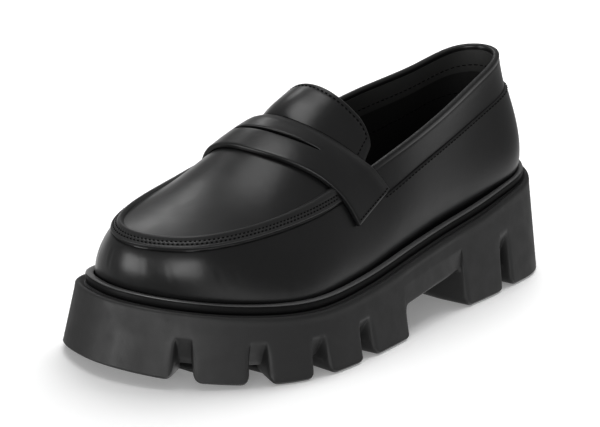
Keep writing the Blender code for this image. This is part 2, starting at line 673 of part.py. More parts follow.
def build():
    for item in list(bpy.data.objects):
        bpy.data.objects.remove(item)
    parts = bpy.data.collections.new("platform_loafer")
    cutters = bpy.data.collections.new("cutters")
    for group in (parts, cutters):
        bpy.context.scene.collection.children.link(group)

    ring = Ring(RING)
    foot = ring.offset(floor_out(ring), 0.0, floor_z)
    centre = (foot.min(axis=0) + foot.max(axis=0)) / 2
    shoe = bpy.data.objects.new("shoe", None)
    shoe.location = (-centre[0] * MM, -centre[1] * MM, 0.0)
    parts.objects.link(shoe)

    leather = new_material("black leather", BLACK_LEATHER)
    edge_leather = new_material("edge leather", EDGE_LEATHER)
    lining = new_material("lining", LINING)
    rubber = new_material("rubber", RUBBER)
    welt_rubber = new_material("welt rubber", WELT_RUBBER)

    outsole = new_object("outsole", outsole_body(ring), parts, shoe, rubber)
    cut(outsole, new_object("arch", arch_cutter(), cutters, shoe, None))
    for side, places in NOTCHES.items():
        for k, x in enumerate(places, start=1):
            cut(outsole, new_object(f"notch {side} {k}", notch_cutter(x, side), cutters, shoe, None))

    new_object("welt", welt_ring(ring), parts, shoe, welt_rubber)
    new_object("insole", insole_board(ring), parts, shoe, lining)
    upper = new_object("upper", upper_wall(ring), parts, shoe, leather)
    solidify(upper, WALL, -1.0)
    tongue = new_object("tongue", tongue_sheet(), parts, shoe, leather)
    solidify(tongue, TONGUE_THICK, -1.0)
    strap = new_object("strap", strap_sheet(), parts, shoe, leather)
    solidify(strap, STRAP_THICK, 1.0)
    new_object("moc_seam", moc_seam_strip(), parts, shoe, edge_leather)


build()
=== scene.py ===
"""Looks of a black platform penny loafer, for the left foot.

The last is worked out from the same short tables as the solids and sampled finely, and each panel
of the shoe is laid on it: the moulded sole, the welt bead, the quarters, the collar, the apron, the
folded moccasin seam, the strap and the tongue, with their stitches. Sizes are millimetres in the
last's own frame, and are turned to metres, in the part's frame, as meshes are made.
+X points to the toe, +Y to the wearer's left (the outer side) and +Z up.
"""
from collections import namedtuple

import bmesh
import bpy
import numpy as np
from mathutils import Matrix, Vector


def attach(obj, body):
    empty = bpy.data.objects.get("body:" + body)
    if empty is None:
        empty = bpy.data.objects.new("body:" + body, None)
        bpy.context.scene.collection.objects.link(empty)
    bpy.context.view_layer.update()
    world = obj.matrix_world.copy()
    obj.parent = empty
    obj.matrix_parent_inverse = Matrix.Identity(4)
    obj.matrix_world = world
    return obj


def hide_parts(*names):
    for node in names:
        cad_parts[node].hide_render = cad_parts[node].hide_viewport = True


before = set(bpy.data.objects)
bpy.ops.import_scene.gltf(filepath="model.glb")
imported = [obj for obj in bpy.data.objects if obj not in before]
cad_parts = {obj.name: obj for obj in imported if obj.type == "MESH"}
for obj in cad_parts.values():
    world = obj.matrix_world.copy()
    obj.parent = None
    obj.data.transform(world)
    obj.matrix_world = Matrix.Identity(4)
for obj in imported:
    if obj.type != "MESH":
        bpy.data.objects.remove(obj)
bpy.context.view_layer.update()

MM = 0.001
MERGE_WITHIN = 1e-6
SHARP = 40.0           # edges over this angle stay sharp
UP = np.array([0.0, 0.0, 1.0])

# Shape of the last, as the solids have it: a row for each section from the heel round the outer
# side, the toe and the inner side. foot is the foot line, edge the top edge; low_out and low_up
# leave the foot line, high_out and high_down reach the top edge; band is the collar band's width.
Section = namedtuple("Section", "name foot_x foot_y edge_x edge_y edge_z "
                                "low_out low_up high_out high_down band")
SECTIONS = [
    Section("heel",             -131.0,   0.0, -124.5,   0.0, 102.8, 6.5, 17.0, 1.5, 15.0, 15.0),
    Section("outer heel turn",  -120.5,  21.5, -115.0,  14.5, 100.8, 8.0, 17.0, 2.0, 15.0, 15.0),
    Section("outer heel",       -102.0,  27.0,  -95.0,  20.0,  95.2, 5.5, 16.0, 1.5, 15.0, 14.5),
    Section("outer counter",     -65.0,  29.6,  -62.0,  27.0,  87.0, 3.5, 15.0, 1.0, 14.0, 14.0),
    Section("outer waist",       -30.0,  34.2,  -30.0,  31.0,  79.0, 3.0, 13.0, 1.5, 14.0, 14.0),
    Section("outer instep",        3.0,  40.3,    0.0,  31.0,  70.5, 4.0, 12.0, 4.0, 10.0, 13.0),
    Section("outer joint rear",   34.0,  44.6,   30.0,  34.0,  64.8, 5.0, 11.0, 6.5,  7.5,  6.0),
    Section("outer joint",        61.0,  43.9,   57.0,  32.5,  61.0, 5.5, 10.0, 7.0,  5.0,  5.0),
    Section("outer toe side",     86.0,  30.5,   82.0,  27.0,  59.0, 5.5, 10.0, 6.5,  4.5,  5.0),
    Section("outer toe turn",    101.0,  14.0,   97.0,  15.0,  57.6, 5.0, 10.0, 6.0,  4.5,  5.0),
    Section("toe",               106.2,  -7.0,  103.0,  -5.5,  57.0, 5.0, 10.0, 6.0,  4.5,  5.0),
    Section("inner toe turn",    102.5, -22.0,   97.0, -21.0,  57.8, 5.0, 10.0, 6.0,  4.5,  5.0),
    Section("inner toe side",     92.0, -37.0,   80.0, -31.0,  59.6, 5.5, 10.0, 6.5,  4.5,  5.0),
    Section("inner joint",        66.0, -42.7,   55.0, -36.0,  62.2, 5.5, 10.0, 7.0,  5.0,  5.0),
    Section("inner joint rear",   36.0, -40.0,   28.0, -36.5,  66.3, 5.0, 11.0, 6.5,  7.5,  6.0),
    Section("inner instep",        5.0, -33.2,    0.0, -32.0,  71.5, 4.0, 12.0, 4.0, 10.0, 13.0),
    Section("inner waist",       -30.0, -28.0,  -30.0, -30.5,  79.2, 4.0, 13.0, 1.5, 14.0, 14.0),
    Section("inner counter",     -65.0, -27.5,  -62.0, -27.0,  87.3, 3.5, 15.0, 1.0, 14.0, 14.0),
    Section("inner heel",       -102.0, -27.0,  -95.0, -20.0,  94.8, 5.0, 16.0, 1.5, 15.0, 14.5),
    Section("inner heel turn",  -120.5, -21.5, -115.0, -14.5, 100.7, 7.0, 17.0, 1.5, 15.0, 15.0),
]

# Side profiles: x, height, and the sideways shift of the instep's crown
RIM_HEIGHT = [(-145, 49.0), (-105, 42.0), (-75, 37.1), (-45, 33.6), (-15, 30.7), (15, 27.8),
              (45, 26.3), (70, 27.0), (90, 28.7), (105, 30.8), (125, 33.6)]
CROWN_HEIGHT = [(-20, 89.0), (-4, 89.8), (5, 90.5), (12, 90.3), (24, 86.5), (36, 81.0),
                (60, 70.0), (80, 63.5), (95, 59.2), (103, 57.0)]
CROWN_SHIFT = [(-20, -5.5), (36, -5.5), (70, -3.0), (95, 0.0), (103, 0.0)]
# Toe spring and heel bevel: from x to x, height there
FLOOR_BENDS = [(70.0, 125.0, 6.2), (-121.0, -144.0, 4.0)]
SHIFT_LIMIT = 3        # the crown shifts by no more than the half width over this
KNOT_POWER = 0.6
CAD_RING = 84          # sections in the solids' ring, which sets the part's origin
FINE_RING = 2400
PROFILE_STEPS = 81
PLACE_NUDGE = 1e-3     # step for slopes along the ring, as a share of it
TINY = 0.05

# Sole
RIM_OUT = 10.0
RIM_OUT_TOE = 10.8
RIM_OUT_HEEL = 7.2
HEEL_RIM_X = (-70.0, -112.0)  # the rim changes to the heel's over these
FLARE = 5.5
FLARE_HEEL = 4.5
ARCH_FRONT = -6.0
ARCH_REAR = -57.0
ARCH_TOP = 16.8
ARCH_TOP_FRONT = 13.6
ARCH_ROUND = 3.5
ARCH_HEEL_ROUND = 2.5
ARCH_BITE = 2.0        # the waist's side lies this far behind the heel's lug
ARCH_BITE_FRONT = 0.7  # and behind the front lug
WAIST_X = (-55.0, -44.0)  # the waist's side comes forward between these
NOTCH_WIDTH = 8.4
NOTCH_BITE = 8.5
NOTCH_TOP = 0.68       # share of the side's height where a notch fades out
NOTCH_POWER = 0.9
ARCH_FADE_TOP = 0.82   # and the waist
LUG_SHARE = 0.23
NOTCHES = {"outer": [110.6, 86.2, 58.5, 27.4, -92.3],  # x at the floor
           "inner": [92.0, 61.5, 31.0, -91.5]}
LUG_ROUND = 1.1        # length over which a lug's wall goes in
LUG_CORNER = 4.0       # radius of a lug's lower corners
LUG_EDGE = 2.4         # and of its upright edges
LUG_TURN = (0, 15, 30, 45, 60, 74, 85)  # stations round a corner, in degrees
# Sole rim from the foot line outward: share of the rim's width, height over the rim
SHELF = [(-0.9, 0.0), (0.0, 0.0), (0.24, 0.0), (0.57, -0.05), (0.60, -0.6), (0.64, -0.75), (0.68, -0.6)]
# Rounded outer edge of the rim: distance in from the side, height over the rim
RIM_EDGE = [(2.1, -0.3), (1.7, -0.05), (1.2, 0.0), (0.7, -0.15), (0.3, -0.5), (0.05, -1.0), (-0.1, -1.8)]
RIM_GROW = 1.2         # that edge is rounder, and rounder still at the heel
RIM_GROW_HEEL = 1.35
SIDE_ROWS = 18
FLOOR_ROUND = 2.0
FLOOR_TURN = (25, 45, 65)  # rows round the lower edge, in degrees
FLOOR_ROWS = [2.0, 4.0, 8.0, 12.0, 16.0]
CENTRE_ROWS = [0.2, 0.38, 0.42, 0.7]
WALL_STATIONS = 6
CORNER_STATIONS = 8
CHANNEL_END = 0.4      # share of the way to the middle where a notch's channel ends
STATIONS = 150

# Upper
JOINT_GAP = 0.3
WALL = 2.2
COLLAR_STEP = 0.9
LEATHER = 0.85         # thickness of the quarters and the apron's shell
COLLAR_ROLL = 2.9      # thickness of the rolled topline
COLLAR_INSIDE = 11.0   # how far the collar turns down inside
COLLAR_INSIDE_ROWS = (COLLAR_INSIDE, 7.0, 4.0, 2.0, 0.5)
COLLAR_TURN = (25, 50, 75, 100, 130, 155)  # rows round the topline, in degrees
COLLAR_SEAM_ROWS = (3.5, 0.4, -0.5)  # below the collar seam
COLLAR_SPREAD = (0.75, 0.5, 0.25, 0.0)  # shares of the way down to it
COLLAR_SPREAD_TOP = 5.5
COLLAR_SLOPE_ROW = 4   # the topline's slope is taken from this row, counted from the edge
COLLAR_GROOVE = (2.0, 0.14, 0.35)  # below the edge: place, depth, half width
COLLAR_ROWS = (4.8, 3.6, 2.9, 2.4, 2.0, 1.6, 1.1, 0.6, 0.0)  # below the edge
COLLAR_LINING_ROWS = (12.5, 9.5, 6.5, 4.2, 2.6, 1.7)
COLLAR_LINING_FACES = (3.2, 2.5)  # its two faces, in from the wall
WRAP_X = (-3.0, 10.0)  # the collar seam runs up to the top edge here, under the strap
THROAT_X = 13.0
UPPER_RING = 600
LINING_LAP = 2.0       # the side lining goes up under the collar's
LINING_FOOT = 0.02
LINING_ROWS = 24
LINING_FACES = (LEATHER + 0.3, WALL + 0.1)  # in from the wall
FOOT_ROWS = [(-4.0, 0.1), (-0.9, 0.15)]  # under the insole: out from the foot line, up
EDGE_SHARE = 0.7       # the quarters' edges are rounded by this share of their thickness
# Unevenness of the leather: height, and products of waves with their lengths along x, y and z
UNEVEN = [(0.09, [(11.0, 17.0, np.inf), (-23.0, np.inf, 9.0)]), (0.05, [(29.0, 7.0, 13.0)])]

# Strap
StrapEdge = namedtuple("StrapEdge", "outer_end outer_edge bow inner_edge inner_end drop")
STRAP_FRONT = StrapEdge(15.0, 22.0, 11.0, 29.0, 22.0, 18.5)
STRAP_REAR = StrapEdge(-12.0, -5.0, 13.5, 2.0, -1.0, 13.5)
STRAP_LIFT = 0.45
STRAP_THICK = 2.0
STRAP_WIDTH = 25.0
STRAP_HALF = 31.5
DROP_LIMIT = 0.3
SLIT_AT = 0.51
SLIT_TURN = 0.05
SLIT_HALF_LENGTH = 0.62
SLIT_GAP = 1.5
SLIT_LINE = 0.3
EDGE_ROUND = 0.85

# Tongue
TONGUE_FRONT = 42.0
TONGUE_TOP = -8.5
TONGUE_TOP_DIP = 7.0
TONGUE_DIP_POWER = 2.5
TONGUE_CORNER = 7.0    # radius of its top corners
TONGUE_OUTER = 24.5
TONGUE_SPREAD = 4.5
TONGUE_NARROW_OVER = 14.0
TONGUE_INNER = -29.0
TONGUE_KICK = 12.7
TONGUE_START = 1.3     # it starts flush with the strap's rear edge
TONGUE_RISE = 1.0
TONGUE_INNER_RISE = 0.75
TONGUE_RISE_TURN = (-0.3, 0.6)
TONGUE_CLEAR = 0.35
TONGUE_OUTER_SHOULDER = 3.0
TONGUE_INNER_SHOULDER = 18.0
TONGUE_SINK = 2.75
TONGUE_SINK_OVER = 4.5
TONGUE_THICK = 2.4
TONGUE_STITCH_IN = 2.1

# Moccasin seam, across: distance past the top edge onto the apron (negative is down the side
# wall), height over the upper. A thin lip stands on the apron's side, then the sewn band.
SEAM_SECTION = [(2.4, -0.3), (2.15, 0.4), (1.8, 1.1), (1.35, 1.55), (0.85, 1.7), (0.35, 1.55), (-0.05, 1.2),
                (-0.4, 0.95), (-0.75, 0.9), (-1.1, 0.95), (-1.45, 1.0), (-1.8, 1.05), (-2.15, 1.05),
                (-2.5, 1.05), (-2.85, 1.1), (-3.2, 1.25), (-3.5, 1.3), (-3.75, 1.15), (-3.95, 0.7),
                (-4.05, -0.3)]
SEAM_UNDER = -0.3
SEAM_PITCH = 1.9
SEAM_HOLES = [(-0.75, 0.0), (-2.15, 0.5)]  # two rows of holes: place across, share of a pitch along
SEAM_HOLE_DEPTH = 0.22
SEAM_HOLE_HALF = 0.4
SEAM_THREAD = 0.3
SEAM_THREAD_LENGTH = 1.1
SEAM_SHADE = (4.5, 0.4, 0.5)  # groove under the band: place below the top edge, half width, depth
SEAM_RING = 1800
SEAM_UNDER_STRAP = 5.0
SEAM_FADE = 1.0        # it has its full height this far past the strap's edge
SEAM_HOLE_POWER = 4
SEAM_ENDS = 3          # holes without a thread, at each end

# Rows, columns and small sizes of the panels
WELT_RING = 480
WELT_AROUND = 18
WELT_MIDDLE = 0.41     # shares of the rim's width
WELT_HALF = 0.175
WELT_SQUARE = 0.6
WELT_RISE = 2.1
CAP_TURN = np.radians(np.linspace(40.0, 140.0, 9))  # the bead's top, round its section, which the lighter cap covers as a painted highlight
CAP_OVER = 1.06        # sizes of the cap's two faces, to the bead
CAP_UNDER = 0.9
INSOLE_RING = 320
INSOLE_COLUMNS = 24
INSOLE_INSET = 3.2
INSOLE_THICK = 4.0
INSOLE_DISH = 0.8
INSOLE_ROUND = 1.0
INSOLE_HALF = 20.0     # about half its width
WALL_SHARES = np.concatenate([np.linspace(0.0, 0.62, 26), np.linspace(0.63, 0.9, 28),
                              [0.93, 0.955, 0.975, 0.988, 0.996, 1.0]])
FOOT_FILL = 1.5        # the wall's foot fills out towards the bead, most at the toe
FOOT_FILL_HEEL = 0.5
FOOT_FILL_X = (-70.0, 30.0)
FOOT_FILL_POWER = 7
BACK_SEAM_X = -112.0
BACK_SEAM_WIDTH = 0.6
BACK_SEAM_DEPTH = 0.4
BACK_SEAM_ROW = -1.8   # its stitches lie on the inner side
COLLAR_FRONT = 9.0
COLLAR_STITCH_FRONT = -9.0
COLLAR_RISE = 0.7
APRON_ROWS = 110
APRON_COLUMNS = 81
APRON_THICK = 1.4
STRAP_ENDS = [0.0, 0.008, 0.03, 0.06, 0.1, 0.16, 0.22, 0.3, 0.38, 0.46, 0.54, 0.62, 0.7, 0.78, 0.86, 0.94]
STRAP_END_LENGTH = 15.0
STRAP_COLUMNS = 97
STRAP_BEFORE = [0.0, 0.12, 0.4, 0.85, 1.6, 2.8, 4.4, 6.2, 8.0]
STRAP_LIP = [0.0, 0.08, 0.25, 0.5, 1.0, 1.8, 2.8]
LIP_ROUND = 0.5
STRAP_THIN = 0.9       # the strap thins by this much towards its rear edge
STRAP_THIN_OVER = 5.0
LIP_RISE = 0.35
LIP_REACH = 2.0
LIP_FAR = 9.0
LIP_GROW = 2.0         # the lips are fully round where the slit has opened by half
STRAP_SOFTEN = 4       # rounds of smoothing where the strap bends down at the top edge
SOFTEN_HALF = 7        # over this many columns on each side
STRAP_STITCH_COLUMN = 4
STRAP_STITCH_TRIM = 1.4
TONGUE_COLUMNS = 91
TONGUE_BACK_ROWS = 26
# Rows under the strap, as shares of the way to the tongue's front
TONGUE_UNDER = [0.003, 0.02, 0.05, 0.1, 0.16, 0.24, 0.33, 0.44, 0.56, 0.7, 0.85, 1.0]
TONGUE_EDGE_ROWS = [0.0, 0.1, 0.35, 0.75, 1.2, 1.6, 1.9, 2.1, 2.3, 2.6, 3.0, 3.6]
TONGUE_EDGE_SPAN = 3.6
TONGUE_GROOVE = 0.3
TONGUE_GROOVE_HALF = 0.6
TONGUE_HALF = (TONGUE_OUTER - TONGUE_INNER) / 2
TONGUE_MIDDLE = (TONGUE_OUTER + TONGUE_INNER) / 2

# Stitches
Stitch = namedtuple("Stitch", "pitch length radius")
STRAP_STITCH = Stitch(2.2, 1.6, 0.28)
TONGUE_STITCH = Stitch(2.3, 1.6, 0.28)
UPPER_STITCH = Stitch(2.6, 1.9, 0.26)
LINING_STITCH = Stitch(2.8, 2.0, 0.25)
TONGUE_STITCH_DOWN = (22.0, 0.5)  # down the tongue's sides
TONGUE_SIDE_POINTS = 30
TONGUE_TOP_POINTS = 120
SLOPE_STEP = 0.02
UPPER_STITCH_ROWS = (2.0, 1.0, 0.4)  # below the collar seam, with the stitches on the middle one
BACK_STITCH_ROWS = np.linspace(36.0, 2.0, 12)
LINING_STITCH_AT = [(COLLAR_INSIDE - LINING_LAP, COLLAR_LINING_FACES[0]),
                    (24.0, LINING_FACES[1])]  # below the edge, in from the wall
LINING_STITCH_STEP = 1.0

# Studio: the camera stands where the photo's did, in the last's frame, and looks at the shoe's middle
CAMERA_AZIMUTH = 130.747
CAMERA_ELEVATION = 18.061
CAMERA_ROLL = 0.866
CAMERA_DISTANCE = 1.175285
CAMERA_LENS = 159.0
SENSOR = 36.0
CAMERA_AIM = (0.0092, -0.0076, 0.0451)
FLOOR_HALF = 6.0
AIM = (0.0, 0.0, 0.05)
WHITE = (1.0, 1.0, 1.0, 1.0)
SKY = 0.25
# Brighter parts of the sky: strength, and the ways towards it with the shares where it comes up.
# One is low on the right, as a lit floor is, and one behind on the left, as a lit backdrop is.
DOWN = (0.0, 0.0, -1.0)
RIGHT = (-0.652, 0.758, 0.0)
BACK_LEFT = (-0.52, -0.84, -0.15)
GLOWS = [(0.85, [(DOWN, (0.06, 0.42)), (RIGHT, (-0.3, 0.5))]),
         (0.6, [(BACK_LEFT, (0.93, 0.99))])]
FLOOR_GLOW = 0.17
# Soft boxes: place, size, power, and whether the shoe mirrors them
LIGHTS = [("light_key", (-1.25, -0.5, 1.5), (1.6, 1.6), 38.5, False),
          ("light_top", (0.05, -0.52, 1.9), (0.9, 0.9), 8.0, True),
          ("light_back", (-0.67, -1.12, 1.0), (0.3, 0.3), 0.8, True),
          ("light_left", (1.22, -0.68, 0.06), (0.75, 0.65), 5.8, True),
          ("light_front", (1.2, 0.6, 0.18), (0.85, 0.6), 6.0, True)]

# Creases of the side wall, given one by one: from one place to another, each the top edge's x and the
# share of the way up the wall, with the half width of the trough and its depth
Crease = namedtuple("Crease", "side x0 up0 x1 up1 width depth")
RIDGE_HEIGHT = 0.45    # of the ridges beside a crease, to its depth
RIDGE_AT = 2.2         # and their place, in half widths
CREASES = [
    Crease("outer", 101.8, 0.30, 102.4, 0.72, 0.8, 0.05),
    Crease("outer", 100.2, 0.36, 101.2, 0.66, 0.8, 0.04),
    Crease("outer",  96.5, 0.28,  98.5, 0.60, 0.9, 0.05),
    Crease("outer",  83.0, 0.26,  86.5, 0.58, 1.0, 0.08),
    Crease("outer",  78.0, 0.30,  81.0, 0.56, 0.9, 0.06),
    Crease("outer",  58.0, 0.24,  62.0, 0.50, 1.6, 0.18),
    Crease("inner", 100.5, 0.32, 101.5, 0.68, 1.0, 0.18),
    Crease("inner",  88.0, 0.28,  91.0, 0.58, 1.2, 0.18),
    Crease("inner",  60.0, 0.24,  64.0, 0.52, 1.6, 0.18),
]


def mix(start, end, share):
    return start + (end - start) * share


def unit(vectors):
    return vectors / np.linalg.norm(vectors, axis=-1, keepdims=True)


def bell(x, half=1.0):
    """Bump of height one, about zero."""
    return np.exp(-(x / half) ** 2)


def hermite(t, step, start, start_slope, end, end_slope):
    """Cubic from one value to another with given slopes, at a share t of the step."""
    return ((1 + 2 * t) * (1 - t) ** 2 * start + t * (1 - t) ** 2 * step * start_slope
            + t * t * (3 - 2 * t) * end + t * t * (t - 1) * step * end_slope)


def table_curve(rows, at):
    """Smooth curve through rows of (station, value)."""
    x, y = np.array(rows, float).T
    slope = np.gradient(y, x)
    at = np.clip(np.asarray(at, float), x[0], x[-1])
    k = np.clip(np.searchsorted(x, at) - 1, 0, len(x) - 2)
    step = x[k + 1] - x[k]
    return hermite((at - x[k]) / step, step, y[k], slope[k], y[k + 1], slope[k + 1])


def ring_curve(knots, values, at):
    """Periodic cubic spline: knots has one more entry than values, the closing one."""
    count = len(values)
    step = np.diff(knots)
    rise = np.roll(values, -1, axis=0) - values
    system = np.zeros((count, count))
    right = np.zeros_like(values)
    for k in range(count):
        before, after = step[k - 1], step[k]
        system[k, k - 1] += after
        system[k, k] += 2 * (before + after)
        system[k, (k + 1) % count] += before
        right[k] = 3 * (after * rise[k - 1] / before + before * rise[k] / after)
    slope = np.linalg.solve(system, right)
    at = np.asarray(at, float) % knots[-1]
    k = np.clip(np.searchsorted(knots, at, side="right") - 1, 0, count - 1)
    span = step[k][:, None]
    t = ((at - knots[k]) / step[k])[:, None]
    n = (k + 1) % count
    return hermite(t, span, values[k], slope[k], values[n], slope[n])


def smooth_step(x, start, end):
    t = np.clip((np.asarray(x, float) - start) / (end - start), 0.0, 1.0)
    return t * t * (3 - 2 * t)


def rim_z(x):
    return table_curve(RIM_HEIGHT, x)


def floor_z(x):
    x = np.asarray(x, float)
    return sum(height * np.clip((x - start) / (end - start), 0.0, None) ** 2
               for start, end, height in FLOOR_BENDS)


ROWS = np.array([row[1:] for row in SECTIONS], float)
CHORDS = np.linalg.norm(np.roll(ROWS[:, :2], -1, axis=0) - ROWS[:, :2], axis=1) ** KNOT_POWER
KNOTS = np.concatenate([[0.0], np.cumsum(CHORDS)])
TOE_PLACE = KNOTS[len(SECTIONS) // 2]


def even_places(count):
    """Places round the ring, evenly spaced from the heel to the toe and back; index 0 is the heel."""
    half = count // 2
    return np.concatenate([np.linspace(0.0, TOE_PLACE, half, endpoint=False),
                           np.linspace(TOE_PLACE, KNOTS[-1], count - half, endpoint=False)])


class Ring:
    """Sections of the last at a list of places round it."""

    def __init__(self, places):
        values = ring_curve(KNOTS, ROWS, places)
        nudge = PLACE_NUDGE * KNOTS[-1]
        ahead, behind = (ring_curve(KNOTS, ROWS[:, :2], places + step) for step in (nudge, -nudge))
        along = unit(ahead - behind)
        self.count = len(places)
        self.places = places
        self.foot = values[:, :2]
        self.out = np.column_stack([-along[:, 1], along[:, 0]])
        self.side = np.column_stack([self.out, np.zeros(self.count)])
        self.edge = values[:, 2:5]
        self.low_out, self.low_up, self.high_out, self.high_down, self.band = values[:, 5:].T

    def offset(self, out, up, height):
        """Loop at a distance out from the foot line; height gives z from x, plus up."""
        plan = self.foot + self.out * np.broadcast_to(out, self.count)[:, None]
        return np.column_stack([plan, height(plan[:, 0]) + up])

    def profile(self, t):
        """Points of the upper's outer surface; t is 0 at the foot line and 1 at the top edge."""
        t = np.broadcast_to(t, self.count)[:, None]
        start = self.offset(0.0, JOINT_GAP, rim_z)
        low = start + self.side * self.low_out[:, None] + UP * self.low_up[:, None]
        high = self.edge + self.side * self.high_out[:, None] - UP * self.high_down[:, None]
        return ((1 - t) ** 3 * start + 3 * t * (1 - t) ** 2 * low
                + 3 * t * t * (1 - t) * high + t ** 3 * self.edge)

    def below_edge(self, distance):
        """The t that lies a distance below the top edge, measured along the profile."""
        steps = np.linspace(1.0, 0.0, PROFILE_STEPS)
        points = np.stack([self.profile(t) for t in steps])
        run = np.concatenate([np.zeros((1, self.count)),
                              np.cumsum(np.linalg.norm(np.diff(points, axis=0), axis=2), axis=0)])
        distance = np.broadcast_to(distance, self.count)
        return np.array([np.interp(distance[i], run[:, i], steps) for i in range(self.count)])


def arch_rise(eta, half, height):
    """Height of a circular arch of a given half width and crown height at eta, -1 to 1."""
    half = np.maximum(half, TINY)
    height = np.clip(height, TINY / 2, half)
    radius = (half * half + height * height) / (2 * height)
    return np.sqrt(np.maximum(radius * radius - (eta * half) ** 2, 0.0)) - (radius - height)


class Last:
    """Finely sampled ring, for points of the top edge, the wall and the roof at given places."""

    def __init__(self):
        self.ring = Ring(even_places(FINE_RING))
        half = self.ring.count // 2
        self.sides = {"outer": np.arange(0, half + 1),
                      "inner": np.arange(self.ring.count, half - 1, -1) % self.ring.count}

    def pick(self, values, x, side):
        """Rows of a table of the ring's points at the sections whose top edge is at x."""
        order = self.sides[side]
        spots = self.ring.edge[order, 0]
        return np.stack([np.interp(x, spots, values[order, k]) for k in range(values.shape[1])], axis=-1)

    def roof(self, x, eta):
        """Points of the instep roof over x; eta is 1 at the outer top edge and -1 at the inner."""
        x, eta = np.broadcast_arrays(np.asarray(x, float), np.asarray(eta, float))
        outer, inner = self.pick(self.ring.edge, x, "outer"), self.pick(self.ring.edge, x, "inner")
        point = mix(outer, inner, ((1 - eta) / 2)[..., None])
        half = np.maximum((outer[..., 1] - inner[..., 1]) / 2, TINY)
        shift = np.clip(table_curve(CROWN_SHIFT, x), -half / SHIFT_LIMIT, half / SHIFT_LIMIT)
        off = eta * half - shift
        reach = np.where(off > 0, half - shift, half + shift)
        share = (1 - shift / half) / 2
        crown = table_curve(CROWN_HEIGHT, x) - mix(outer[..., 2], inner[..., 2], share)
        point[..., 2] += arch_rise(off / reach, reach, crown)
        return point

    def roof_under(self, x, y):
        """Points of the roof straight above or below points in plan."""
        outer = self.pick(self.ring.edge, x, "outer")[..., 1]
        inner = self.pick(self.ring.edge, x, "inner")[..., 1]
        eta = (2 * y - outer - inner) / np.maximum(outer - inner, TINY)
        return self.roof(x, np.clip(eta, -1, 1))


LAST = Last()


def heel_share(ring):
    return smooth_step(ring.foot[:, 0], *HEEL_RIM_X)


def rim_out(ring):
    """Width of the sole's rim, from the foot line to its outer edge."""
    toe = np.clip(ring.out[:, 0], 0, 1) ** 2
    return mix(RIM_OUT, RIM_OUT_TOE, toe) + (RIM_OUT_HEEL - RIM_OUT) * heel_share(ring)


def floor_out(ring):
    """Distance from the foot line to the sole's edge at the floor."""
    heel = np.clip(-ring.out[:, 0], 0, 1) ** 2
    return rim_out(ring) + mix(FLARE, FLARE_HEEL, heel)


def part_shift():
    """From the last's frame to the part's frame: the middle of the sole's outline goes to the origin."""
    ring = Ring(even_places(CAD_RING))
    loop = ring.offset(floor_out(ring), 0.0, floor_z)
    centre = (loop.min(axis=0) + loop.max(axis=0)) / 2
    return np.array([-centre[0], -centre[1], 0.0])


SHIFT = part_shift()


# Meshes

def grid_faces(rows, cols, wrap=False):
    """Quads of a grid of points numbered row by row."""
    index = np.arange(rows * cols).reshape(rows, cols)
    after = np.roll(index, -1, axis=1)
    quads = np.stack([index[:-1], after[:-1], after[1:], index[1:]], axis=-1)
    if not wrap:
        quads = quads[:, :-1]
    return quads.reshape(-1, 4)


def slab(top, bottom, wrap=False, keep=None):
    """Closed body between two grids of points, walled along every open edge."""
    rows, cols = top.shape[:2]
    count = rows * cols
    quads = grid_faces(rows, cols, wrap)
    if keep is not None:
        quads = quads[keep.reshape(-1)]
    starts = quads.reshape(-1)
    ends = np.roll(quads, -1, axis=1).reshape(-1)
    border = ~np.isin(starts * count + ends, ends * count + starts)
    a, b = starts[border], ends[border]
    walls = np.column_stack([b, a, a + count, b + count])
    verts = np.concatenate([top.reshape(-1, 3), bottom.reshape(-1, 3)])
    return verts, np.concatenate([quads, quads[:, ::-1] + count, walls])


def loft(sections, closed_path=False):
    """Closed body swept through loops of points: sections has a loop for each station."""
    stations, around = sections.shape[:2]
    count = stations * around
    faces = (grid_faces(stations + closed_path, around, wrap=True) % count).tolist()
    if not closed_path:
        faces += [list(range(around))[::-1], list(range(count - around, count))]
    return sections.reshape(-1, 3), faces


def joined(bodies):
    """One body from several."""
    verts, faces, start = [], [], 0
    for points, quads in bodies:
        verts.append(points)
        faces += [[v + start for v in face] for face in quads]
        start += len(points)
    return np.concatenate(verts), faces


def add_piece(name, body, material, replaces=(), sharp=SHARP):
    """Scene piece from (verts, faces) in the last's frame, riding on the shoe."""
    verts, faces = body
    mesh = bpy.data.meshes.new(name)
    mesh.from_pydata(((verts + SHIFT) * MM).tolist(), [], [[int(v) for v in face] for face in faces])
    mesh_data = bmesh.new()
    mesh_data.from_mesh(mesh)
    bmesh.ops.remove_doubles(mesh_data, verts=mesh_data.verts, dist=MERGE_WITHIN)
    bmesh.ops.recalc_face_normals(mesh_data, faces=mesh_data.faces)
    mesh_data.to_mesh(mesh)
    mesh_data.free()
    mesh.shade_smooth()
    mesh.set_sharp_from_angle(angle=np.radians(sharp))
    mesh.materials.append(material)
    item = bpy.data.objects.new(name, mesh)
    bpy.context.scene.collection.objects.link(item)
    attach(item, "root")
    if replaces:
        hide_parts(*replaces)


def grid_normals(points, wrap=False):
    """Unit normals of a grid of points: columns cross rows."""
    if wrap:
        across = np.roll(points, -1, axis=1) - np.roll(points, 1, axis=1)
    else:
        across = np.gradient(points, axis=1)
    forward = np.gradient(points, axis=0)
    normal = np.cross(across, forward)
    return normal / np.maximum(np.linalg.norm(normal, axis=2), 1e-9)[:, :, None]


def round_edge(distance, radius):
    """Drop below the full thickness, at a distance from a rounded edge."""
    near = np.clip(1 - np.asarray(distance, float) / radius, 0.0, 1.0)
    return radius * (1 - np.sqrt(1 - near ** 2))


